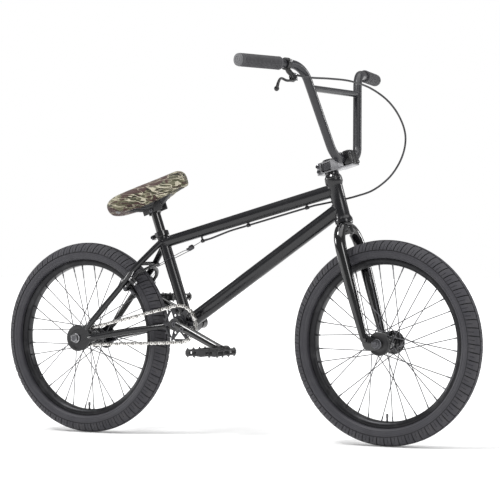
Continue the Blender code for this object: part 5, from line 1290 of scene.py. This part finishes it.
def chainPieces():
    points = chainPath()
    lengths = [0.0]
    for first, second in zip(points, points[1:]):
        lengths.append(lengths[-1] + (second - first).length)
    count = 2 * round(lengths[-1] / drive["pitch"] / 2)
    pitch = lengths[-1] / count
    pins = []
    index = 0
    for number in range(count):
        target = number * pitch
        while lengths[index + 1] < target:
            index += 1
        share = (target - lengths[index]) / (lengths[index + 1] - lengths[index])
        pins.append(points[index].lerp(points[index + 1], share))
    outer = bmesh.new()
    inner = bmesh.new()
    rollers = bmesh.new()
    base = bmesh.new()
    plate(base, [linkOutline(pitch, 0.0047, 0.0031)], 0.0012, Matrix.Identity(4), 0.0002)
    linkMesh = bpy.data.meshes.new("link")
    base.to_mesh(linkMesh)
    base.free()
    for number in range(count):
        first, second = pins[number], pins[(number + 1) % count]
        centre = (first + second) / 2
        ahead = Vector((second.x - first.x, 0, second.y - first.y)).normalized()
        up = ahead.cross(side) * -1
        outerLink = number % 2
        away = 0.0033 if outerLink else 0.0020
        for sign in (-1, 1):
            own = bmesh.new()
            own.from_mesh(linkMesh)
            spot = Vector((centre.x, -drive["line"] + sign * away, centre.y))
            join(outer if outerLink else inner, own, frameMatrix(spot, ahead, up, ahead.cross(up)))
        pin = Vector((first.x, -drive["line"], first.y))
        lathe(rollers, mirrored([(0, 0.0046), (0.0014, 0.0046), (0.0018, 0.0042)]),
              alongAxis(pin, side), 10)
        lathe(rollers, mirrored([(0.0018, 0.0013), (0.0037, 0.0013)]), alongAxis(pin, side), 12,
              ring=True)
    bpy.data.meshes.remove(linkMesh)
    finishPiece("chain_outer_links", outer, chainSteel, "frame", ["chain"], 30)
    # the inner plates and rollers take the darker steel copies: painted shade of the chain's gaps
    finishPiece("chain_inner_links", inner, innerSteelPaintedShade, "frame", (), 30)
    finishPiece("chain_pins", rollers, pinSteelPaintedShade, "frame", (), 35)


def crankPieces():
    mid = armMiddle
    for name, sign in (("right", 1), ("left", -1)):
        out = -sign
        shape = bmesh.new()
        line = smoothLine([
            crankPlace(0.004, sign, out * (mid + 0.0015)),
            crankPlace(0.035, sign, out * (mid + 0.0030)),
            crankPlace(0.085, sign, out * (mid + 0.0105)),
            crankPlace(0.140, sign, out * (mid + drive["flare"])),
            crankPlace(0.168, sign, out * (mid + drive["flare"]))], 40)
        radii = [0.0115 - 0.0012 * (i / 39) for i in range(40)]
        sweep(shape, line, radii, 32, 1.0, (0, 1, 0))
        place = alongAxis(crankCentre, side * out)
        low, high = drive["inner"], drive["inner"] + drive["boss"]
        lathe(shape, [(0.0098, low), (0.0157, low), (0.0165, low + 0.0008),
                      (0.0165, high - 0.0010), (0.0155, high), (0.0098, high)], place, 44,
              ring=True)
        footLow, footHigh = mid + drive["flare"] - 0.0118, mid + drive["flare"] + 0.0118
        foot = alongAxis(crankPlace(drive["crank"], sign), side * out)
        lathe(shape, [(0.0068, footLow), (0.0127, footLow), (0.0135, footLow + 0.0008),
                      (0.0135, footHigh - 0.0008), (0.0127, footHigh), (0.0068, footHigh)],
              foot, 40, ring=True)
        finishPiece(name + "_crank_tube", shape, crankPaint, "cranks", [name + "_crank_arm"], 35)
    spindle = bmesh.new()
    lathe(spindle, mirrored([(0, 0.0700), (0.0088, 0.0700), (0.0095, 0.0692)]),
          wheelPlace(crankCentre), 36)
    for sign in (-1, 1):
        hexSocket(spindle, alongAxis(crankCentre + side * sign * 0.0692, side * sign), 0.0085,
                  0.0030, 0.0118)
    finishPiece("spindle", spindle, darkSteel, "cranks", ["crank_spindle"], 30)
    bolt = bmesh.new()
    outer = mid + 0.0030 + 0.0137
    hexSocket(bolt, alongAxis(crankPlace(0.030, 1, -(outer - 0.0022)), -side), 0.0060, 0.0046)
    sweep(bolt, [crankPlace(0.030, 1, -0.0418), crankPlace(0.030, 1, -outer + 0.001)], 0.0040, 18)
    finishPiece("sprocket_screw", bolt, darkSteel, "cranks", ["sprocket_bolt"], 30)


def window(x, y, hx, hy, cut=0.0012):
    # a rectangle with its corners cut off
    return [(x - hx, y - hy + cut), (x - hx + cut, y - hy), (x + hx - cut, y - hy),
            (x + hx, y - hy + cut), (x + hx, y + hy - cut), (x + hx - cut, y + hy),
            (x - hx + cut, y + hy), (x - hx, y + hy - cut)]


def pedalPieces():
    armOuter = armMiddle + drive["flare"] + 0.0120
    start, width, length = armOuter + 0.0045, 0.100, 0.096
    for name, sign in (("right", 1), ("left", -1)):
        out = -sign
        centre = crankPlace(drive["crank"], sign)
        axle = bmesh.new()
        lathe(axle, [(0, armOuter - 0.020), (0.0065, armOuter - 0.020),
                     (0.0065, armOuter + gap), (0.0085, armOuter + gap),
                     (0.0092, armOuter + 0.0010),
                     (0.0092, start - 0.0008), (0.0080, start - gap), (0.0062, start - gap),
                     (0.0062, start + width - 0.008), (0, start + width - 0.008)],
              alongAxis(centre, side * out), 28)
        finishPiece(name + "_pedal_spindle", axle, darkSteel, "cranks", [name + "_pedal_axle"], 30)
        body = bmesh.new()
        spot = Matrix.Translation(centre + side * out * (start + width / 2))
        halfX, halfY = length / 2, width / 2
        # the cheeks at both ends, raised at their corners, with two windows each
        cheek = [(-halfX + 0.002, -0.0050), (-halfX + 0.0080, -0.0092), (-0.0230, -0.0075),
                 (0.0, -0.0100), (0.0230, -0.0075), (halfX - 0.0080, -0.0092),
                 (halfX - 0.002, -0.0050)]
        holes = [window(x, 0, 0.0095, 0.0036) for x in (-0.0240, 0.0240)]
        for end in (-1, 1):
            plate(body, [mirrored(cheek)] + holes, 0.0070,
                  spot @ Matrix.Translation((0, end * (halfY - 0.0035), 0)) @ uprightMatrix,
                  0.0008)
        # the rails in front and behind, with three windows each
        rail = [(-halfY + 0.004, -0.0088), (0, -0.0072), (halfY - 0.004, -0.0088)]
        for end in (-1, 1):
            place = spot @ frameMatrix(Vector((end * (halfX - 0.0048), 0, 0)), side,
                                       Vector((0, 0, 1)), Vector((1, 0, 0)))
            holes = [window(y, 0, 0.0118, 0.0038) for y in (-0.0295, 0, 0.0295)]
            plate(body, [mirrored(rail)] + holes, 0.0060, place, 0.0008)
        for x in (-0.0220, 0.0220):
            block(body, (0.0045, width - 0.010, 0.0125), spot @ Matrix.Translation((x, 0, 0)),
                  0.0008)
        for y in (-0.0160, 0.0160):
            block(body, (length - 0.012, 0.0045, 0.0125), spot @ Matrix.Translation((0, y, 0)),
                  0.0008)
        sweep(body, [centre + side * out * start, centre + side * out * (start + width - 0.004)],
              0.0098, 32)
        pins = [(x, y) for x in (-0.0432, 0.0432) for y in (-0.0420, -0.0150, 0.0150, 0.0420)]
        pins += [(x, y) for x in (-0.0220, 0.0220) for y in (-0.0455, 0.0455)]
        for x, y in pins:
            for turn in (0.0, math.pi):
                lathe(body, [(0, 0.0122), (0.0012, 0.0122), (0.0018, 0.0112), (0.0018, 0.0092),
                             (0.0032, 0.0088), (0.0034, 0.0060), (0, 0.0060)],
                      spot @ Matrix.Translation((x, y, 0)) @ Matrix.Rotation(turn, 4, "X"), 10)
        finishPiece(name + "_pedal_platform", body, pedalPlastic, name + "_pedal",
                    [name + "_pedal"], 35)


sprocket()
chainPieces()
crankPieces()
pedalPieces()
print("drive made")

# rear brake and cables
brake = {"near": 0.0135, "thick": 0.0065, "layer": 0.0077, "rise": 0.056, "reach": 0.0657,
         "padGap": 0.0030}


def brakePieces():
    for name, sign, layer in (("right", -1, 0), ("left", 1, 1)):
        pivot = stayPoint(tubes["brakeRise"], 0, sign * tubes["brakeSide"])
        low = brake["near"] + layer * brake["layer"]
        front = low + brake["thick"] / 2
        hubEnd = brake["near"] + 2 * brake["thick"] + 0.0012

        def place(rise, inward, ahead):
            return pivot + brakeUp * rise + brakeAhead * ahead - side * sign * inward

        base = stayFoot - rearAxle + brakeAhead * front
        lean = base.dot(brakeUp)
        trackRadius = (wheel["rimEdge"] + wheel["rimInner"]) / 2
        padRise = math.sqrt(lean * lean - base.length_squared + trackRadius ** 2) - lean
        padUp = (base + brakeUp * padRise).normalized()
        padAlong = side.cross(padUp)
        padRise -= tubes["brakeRise"]
        shape = bmesh.new()
        half = brake["thick"] / 2
        lathe(shape, [(0.0035, hubEnd), (0.0080, hubEnd), (0.0087, hubEnd - 0.0010),
                      (0.0087, brake["near"]), (0.0035, brake["near"])],
              alongAxis(pivot, brakeAhead), 32, ring=True)
        upper = smoothLine([place(0, 0, front), place(0.022, 0.004, front),
                            place(0.040, 0.020, front),
                            place(0.052, brake["reach"] - 0.020, front),
                            place(brake["rise"], brake["reach"], front)], 24)
        sweep(shape, upper, [half * (2.15 - 0.028 * i) for i in range(24)], 18, 0.52,
              brakeAhead.cross(upper[1] - upper[0]))
        lower = [place(0, 0, front), place(-0.014, -0.003, front), place(padRise, -0.0015, front)]
        sweep(shape, smoothLine(lower, 10), half * 1.7, 18, 0.62,
              brakeAhead.cross(lower[1] - lower[0]))
        sweep(shape, [place(padRise, 0.0030, front), place(padRise, -0.0062, front)], 0.0068, 24)
        end = place(brake["rise"], brake["reach"], 0)
        lathe(shape, [(0, low + brake["thick"] + 0.0008), (0.0050, low + brake["thick"] + 0.0008),
                      (0.0056, low + brake["thick"]), (0.0056, low - 0.0006), (0, low - 0.0008)],
              alongAxis(end, brakeAhead), 28)
        finishPiece(name + "_brake_lever_arm", shape, brakePaint, name + "_brake",
                    [name + "_brake_arm"], 38)
        clampBolt = bmesh.new()
        sunk = low + brake["thick"] * (0.9 if layer else 0.86)
        hexSocket(clampBolt, alongAxis(end + brakeAhead * sunk, brakeAhead), 0.0036, 0.0014)
        finishPiece(name + "_wire_screw", clampBolt, brightSteel, name + "_brake", (), 30)
        bolt = bmesh.new()
        head = pivot + brakeAhead * (hubEnd + gap)
        hexSocket(bolt, alongAxis(head, brakeAhead), 0.0066, 0.0046)
        sweep(bolt, [pivot + brakeAhead * 0.0135, head + brakeAhead * 0.001], 0.0033, 16)
        finishPiece(name + "_pivot_bolt", bolt, brightSteel, "frame", [name + "_brake_bolt"], 30)
        pad = bmesh.new()
        padIn = tubes["brakeSide"] - wheel["rimHalf"] - brake["padGap"]
        padPlace = frameMatrix(place(padRise, padIn - 0.0024, front), side, padAlong, padUp)
        block(pad, (0.0048, 0.044, 0.0095), padPlace, 0.0012)
        finishPiece(name + "_pad_rubber", pad, padRubber, name + "_brake", [name + "_brake_pad"])
        holder = bmesh.new()
        padPlace = frameMatrix(place(padRise, padIn - 0.0066, front), side, padAlong, padUp)
        block(holder, (0.0036, 0.040, 0.0090), padPlace, 0.0010)
        sweep(holder, [place(padRise, padIn - 0.006, front), place(padRise, -0.0090, front)],
              0.0029, 16)
        hexNut(holder, alongAxis(place(padRise, -0.0062, front), side * sign), 0.0050, 0.0030,
               0.0054, 0.0024)
        finishPiece(name + "_pad_holder", holder, darkSteel, name + "_brake", (), 30)
        spring = bmesh.new()
        coil = []
        for index in range(34):   # two turns round the boss, then a leg up behind the stay
            angle = math.tau * index / 16
            coil.append(pivot + brakeAhead * (0.0128 - 0.0001 * index)
                        + (brakeUp * math.cos(angle) + side * math.sin(angle)) * 0.0078)
        wireEnd = [place(0.010, -0.010, 0.0100), place(0.024, -0.0105, 0.0085)]
        sweep(spring, coil[:-1] + wireEnd, 0.0008, 8)
        finishPiece(name + "_return_spring", spring, brightSteel, "frame", (), 50)


def cablePieces():
    stop = topTubePoint(tubes["cableStop"], tubes["stopBelow"])
    lastGuide, firstGuide = [topTubePoint(ahead, tubes["guideBelow"])
                             for ahead in tubes["guides"]]
    route = [
        (0.3060, -0.1700, 0.9185), (0.3253, -0.1500, 0.9150), (0.3600, -0.1180, 0.9130),
        (0.3905, -0.0700, 0.9088), (0.4101, 0.0000, 0.8954), (0.4354, 0.0500, 0.8647),
        (0.4541, 0.0800, 0.8227), (0.4633, 0.0920, 0.7749), (0.4549, 0.0880, 0.7244),
        (0.4285, 0.0760, 0.6767), (0.3900, 0.0560, 0.6420), (0.3500, 0.0350, 0.6260),
        (0.3100, 0.0270, 0.6170), (0.2750, 0.0130, 0.6095)]
    route.insert(0, leverMatrix @ Vector((-0.0320, 0, -0.0274)))
    route.append(firstGuide + topDir * 0.022)
    line = [leverMatrix @ Vector((-0.0270, 0, -0.0264))] + smoothLine(route, 150)
    line += smoothLine([lastGuide - topDir * 0.010, lastGuide - topDir * 0.060,
                        stop + topDir * 0.030, stop + topDir * (0.0035 + gap)], 24)
    shape = bmesh.new()
    sweep(shape, line, 0.0025, 14)
    for place, direction in ((line[0], line[1] - line[0]), (line[-1], line[-2] - line[-1])):
        lathe(shape, [(0.0026, 0.0), (0.0029, 0.0005), (0.0029, 0.0100), (0.0026, 0.0110)],
              alongAxis(place, direction), 16)
    bmesh.ops.recalc_face_normals(shape, faces=shape.faces)
    mesh = bpy.data.meshes.new("cable_housing")
    shape.to_mesh(mesh)
    shape.free()
    mesh.shade_smooth()
    mesh.materials.append(cableSkin)
    piece = newObject("cable_housing", mesh)
    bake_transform(piece)
    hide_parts("brake_cable")
    hanger = stop + Vector((-0.040, 0, -0.0195))
    wire = bmesh.new()
    sweep(wire, [stop - topDir * (0.0035 + gap), hanger], 0.0009, 8)
    finishPiece("bare_wire", wire, darkSteel, "frame", (), 50)
    yoke = bmesh.new()
    pull = (stop - hanger).normalized()
    ahead = side.cross(pull)
    own = bmesh.new()
    lathe(yoke, [(0, 0.0075), (0.0052, 0.0075), (0.0068, 0.0055), (0.0068, -0.0030),
                 (0.0050, -0.0055), (0, -0.0055)], alongAxis(hanger + pull * 0.004, pull), 24)
    plateOutline = [(-0.0085, -0.0060), (-0.0050, -0.0085), (0.0050, -0.0085), (0.0085, -0.0060),
                    (0.0055, 0.0060), (0.0030, 0.0085), (-0.0030, 0.0085), (-0.0055, 0.0060)]
    plate(own, [plateOutline], 0.0050, Matrix.Identity(4), 0.0008)
    join(yoke, own, frameMatrix(hanger, side, pull, ahead))
    hexSocket(yoke, frameMatrix(hanger - ahead * 0.001, side, pull, ahead), 0.0046, 0.0066)
    finishPiece("wire_hanger", yoke, darkSteel, "frame", ["cable_hanger"], 30)
    ends = []
    for sign, layer in ((-1, 1), (1, 0)):
        front = brake["near"] + layer * brake["layer"] + brake["thick"] + 0.0010
        ends.append(stayPoint(tubes["brakeRise"] + brake["rise"], front + 0.0012, sign * 0.022))
    below = hanger + Vector((-0.0005, 0, -0.0062))
    straddle = bmesh.new()
    sweep(straddle, smoothLine([ends[0], below + Vector((-0.014, -0.014, -0.0020)),
                                below + Vector((0, -0.004, 0)), below + Vector((0, 0.004, 0)),
                                below + Vector((-0.014, 0.014, -0.0020)), ends[1]], 40),
          0.0009, 8)
    finishPiece("straddle_wire", straddle, darkSteel, "frame", ["straddle_cable"], 50)


brakePieces()
cablePieces()
print("brake made")

# seat
seat = {"post": 0.0127, "insert": 0.0975, "standout": 0.0615, "back": -0.122, "length": 0.243,
        "width": 0.128, "nose": 0.046, "rise": 0.0262, "height": 0.047, "cap": 0.004,
        "pressure": 4.0, "shellStart": -0.100, "shellLength": 0.206}
# how low the cover's edge hangs, by the place along the saddle
hem = ((-0.122, 0.036), (-0.100, 0.031), (-0.086, 0.0250), (-0.056, 0.0130), (-0.011, 0.0060),
       (0.030, 0.0110), (0.060, 0.0180), (0.085, 0.0230), (0.121, 0.0290))
saddleUp = saddleForward.cross(side)
saddleMatrix = frameMatrix(saddleCentre, saddleForward, side, saddleUp)


def seatPost():
    shape = bmesh.new()
    top = seat["standout"] + tubes["seatLength"]
    low = tubes["seatLength"] - seat["insert"]
    lathe(shape, [(0, low), (seat["post"] - 0.0005, low), (seat["post"], low + 0.0006),
                  (seat["post"], top - 0.006), (0, top - 0.006)],
          alongAxis(crankCentre, seatUp), 44)
    sweep(shape, [saddleCentre - side * 0.0102, saddleCentre + side * 0.0102], 0.0150, 40)
    finishPiece("seatpost_tube", shape, glossPaint, "seatpost", ["seatpost"], 35)


def hemHeight(along):
    for (first, low), (second, high) in zip(hem, hem[1:]):
        if along <= second:
            return low + (high - low) * max(0.0, (along - first) / (second - first))
    return hem[-1][1]


def saddleShape(share):
    # half width, middle height of the underside and thickness at a share of the length
    taper = 0.5 - 0.5 * math.cos(math.pi * min(1.0, max(0.0, (share - 0.12) / 0.58)))
    half = (seat["width"] + (seat["nose"] - seat["width"]) * taper) / 2
    ends = math.sqrt(max(0.0, 1 - max(0.0, (0.20 - share) / 0.20, (share - 0.90) / 0.10) ** 2
                         * 0.75))
    return half * ends, seat["rise"], seat["height"] * (0.55 + 0.45 * ends)


def saddlePad():
    shape = bmesh.new()
    bmesh.ops.create_cube(shape, size=1.0)
    for axis, cuts in ((0, 39), (1, 15), (2, 5)):
        edges = [e for e in shape.edges if abs(e.verts[0].co[axis] - e.verts[1].co[axis]) > 0.5]
        bmesh.ops.subdivide_edges(shape, edges=edges, cuts=cuts, use_grid_fill=True)
    for vert in shape.verts:
        share = vert.co.x + 0.5
        half, rise, height = saddleShape(share)
        across = vert.co.y * 2
        level = vert.co.z + 0.5
        along = seat["back"] + seat["length"] * share
        edge = abs(across) ** 4
        top = rise + height * (1 - 0.34 * abs(across) ** 2.6)
        low = hemHeight(along) * edge + rise * (1 - edge)
        belly = 1 - 0.10 * (1 - level) ** 2
        vert.co = Vector((along, across * half * belly, low + (top - low) * level))
    mesh = bpy.data.meshes.new("saddle_cover")
    shape.to_mesh(mesh)
    shape.free()
    piece = newObject("saddle_cover", mesh)
    remesh = piece.modifiers.new("remesh", "REMESH")
    remesh.mode = "VOXEL"
    remesh.voxel_size = 0.0040
    settle(piece)
    inflate(piece)
    soft = bmesh.new()
    soft.from_mesh(piece.data)
    for _ in range(3):
        bmesh.ops.smooth_vert(soft, verts=soft.verts, factor=0.5, use_axis_x=True,
                              use_axis_y=True, use_axis_z=True)
    soft.transform(saddleMatrix)
    soft.to_mesh(piece.data)
    soft.free()
    smooth = piece.modifiers.new("smooth", "SUBSURF")
    smooth.levels = 1
    smooth.render_levels = 1
    settle(piece)
    piece.data.shade_smooth()
    piece.data.materials.append(saddleCloth)
    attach(piece, "saddle")
    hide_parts("saddle_pad")


def settle(piece):
    # swaps a piece's mesh for the one its modifiers give
    bpy.context.view_layer.update()
    seen = piece.evaluated_get(bpy.context.evaluated_depsgraph_get())
    mesh = bpy.data.meshes.new_from_object(seen)
    piece.modifiers.clear()
    old = piece.data
    piece.data = mesh
    bpy.data.meshes.remove(old)


def inflate(piece):
    # the foam pushes its cover out, no further than the cap
    start = [vert.co.copy() for vert in piece.data.vertices]
    clothModifier = piece.modifiers.new("cloth", "CLOTH")
    clothModifier.settings.use_pressure = True
    clothModifier.settings.uniform_pressure_force = seat["pressure"]
    clothModifier.settings.effector_weights.gravity = 0.0
    clothModifier.settings.quality = 6
    for number in range(1, 16):
        scene.frame_set(number)
    settle(piece)
    scene.frame_set(1)
    for vert, place in zip(piece.data.vertices, start):
        moved = vert.co - place
        if moved.length > seat["cap"]:
            vert.co = place + moved.normalized() * seat["cap"]


def wedge(row, rows):
    # one row of the saddle's shell: its place, half width, top and lowest point
    along = seat["shellStart"] + seat["shellLength"] * row / rows
    half, rise, _ = saddleShape((along - seat["back"]) / seat["length"])
    top = rise + 0.0012
    near = math.exp(-((along - 0.004) / 0.036) ** 2)
    low = min(top - 0.0040, hemHeight(along) + 0.0035) - 0.0150 * near
    return along, half, top, low


def saddleBase():
    shape = bmesh.new()
    own = bmesh.new()
    rows, across = 40, 9
    grid = []
    for row in range(rows + 1):
        along, half, top, low = wedge(row, rows)
        ends = math.sqrt(max(0.0, 1 - max(0.0, 1 - row / 4, (row - rows + 4) / 4) ** 2 * 0.8))
        wide = (half - 0.0095) * ends
        line = []
        for column in range(across + 1):
            turn = column / across * 2 - 1
            depth = 1 - abs(turn) ** 3.2
            line.append(own.verts.new((along, turn * wide, top - (top - low) * depth)))
        grid.append(line)
    for first, second in zip(grid, grid[1:]):
        for column in range(across):
            own.faces.new((first[column], first[column + 1], second[column + 1], second[column]))
    edges = [e for e in own.edges if len(e.link_faces) == 1]
    bmesh.ops.holes_fill(own, edges=edges, sides=0)
    bmesh.ops.recalc_face_normals(own, faces=own.faces)
    join(shape, own, saddleMatrix)
    for sign in (-1, 1):
        for layer in range(5):   # ribs that follow the wedge's flanks
            line = []
            share = 0.93 - layer * 0.13
            depth = 1 - share ** 3.2
            for row in range(4, rows - 3 - layer * 2):
                along, half, top, low = wedge(row, rows)
                line.append(saddleMatrix @ Vector((along, sign * share * (half - 0.0095),
                                                   top - (top - low) * depth)))
            sweep(shape, line, 0.0011, 8)
    for sign in (-1, 1):   # cheeks that close on the post's head
        block(shape, (0.060, 0.0050, 0.026),
              saddleMatrix @ Matrix.Translation((0.002, sign * 0.0134, 0.0060)), 0.0016)
    finishPiece("saddle_shell", shape, basePlastic, "saddle", ["saddle_base"], 35)
    screw = bmesh.new()
    for sign in (-1, 1):
        hexSocket(screw, alongAxis(saddleCentre + side * sign * 0.0159, side * sign), 0.0058,
                  0.0030)
    finishPiece("saddle_screws", screw, darkSteel, "saddle", (), 30)


seatPost()
saddlePad()
saddleBase()
print("seat made")

# stage, light and camera
view = {"place": (2.5866, -4.3812, 0.5089), "target": (0.05926, 0.0, 0.49196), "lens": 140.42,
        "roll": -0.5}
bpy.ops.mesh.primitive_plane_add(size=40, location=(0, 0, 0))
floor = bpy.context.object
floor.name = "floor"
floorFinish = Finish("floor_white", Base_Color=rgb(0.93, 0.93, 0.93), Roughness=0.9,
                     Emission_Color=rgb(1, 1, 1), Emission_Strength=0.10)
floor.data.materials.append(floorFinish.material)

# the room is dim for the paint to reflect, and white where the camera sees it
world = bpy.data.worlds.new("studio")
scene.world = world
world.use_nodes = True
room = world.node_tree.nodes["Background"]
room.inputs[0].default_value = rgb(1, 1, 1)
seen = world.node_tree.nodes.new("ShaderNodeLightPath")
strength = world.node_tree.nodes.new("ShaderNodeMapRange")
strength.inputs["To Min"].default_value = 0.30
strength.inputs["To Max"].default_value = 1.0
world.node_tree.links.new(seen.outputs["Is Camera Ray"], strength.inputs["Value"])
world.node_tree.links.new(strength.outputs[0], room.inputs[1])


def skyLight(name, toward, power, spread):
    # a wide soft light from far away, the same all over the floor
    data = bpy.data.lights.new(name, "SUN")
    data.energy = power
    data.angle = math.radians(spread)
    lamp = newObject(name, data)
    lamp.rotation_euler = Vector(toward).to_track_quat("Z", "Y").to_euler()


for light in (("key_light", (-0.55, -0.75, 1.5), 1.6, 16),
              ("top_light", (0.25, 0.10, 1.6), 1.9, 70),
              ("side_light", (1.6, -0.9, 0.9), 0.6, 20),
              ("left_light", (-1.0, -0.30, 0.22), 0.9, 14),
              ("right_light", (0.75, 0.80, 0.25), 0.6, 10)):
    skyLight(*light)

cameraData = bpy.data.cameras.new("camera")
cameraData.lens = view["lens"]
cameraData.sensor_width = 36
cameraData.clip_end = 100
camera = newObject("camera", cameraData)
camera.location = view["place"]
back = (Vector(view["place"]) - Vector(view["target"])).normalized()
right = Vector((0, 0, 1)).cross(back).normalized()
upward = back.cross(right)
turn = Matrix((right, upward, back)).transposed().to_4x4()
camera.matrix_world = (Matrix.Translation(view["place"]) @ turn
                       @ Matrix.Rotation(math.radians(view["roll"]), 4, "Z"))
scene.camera = camera
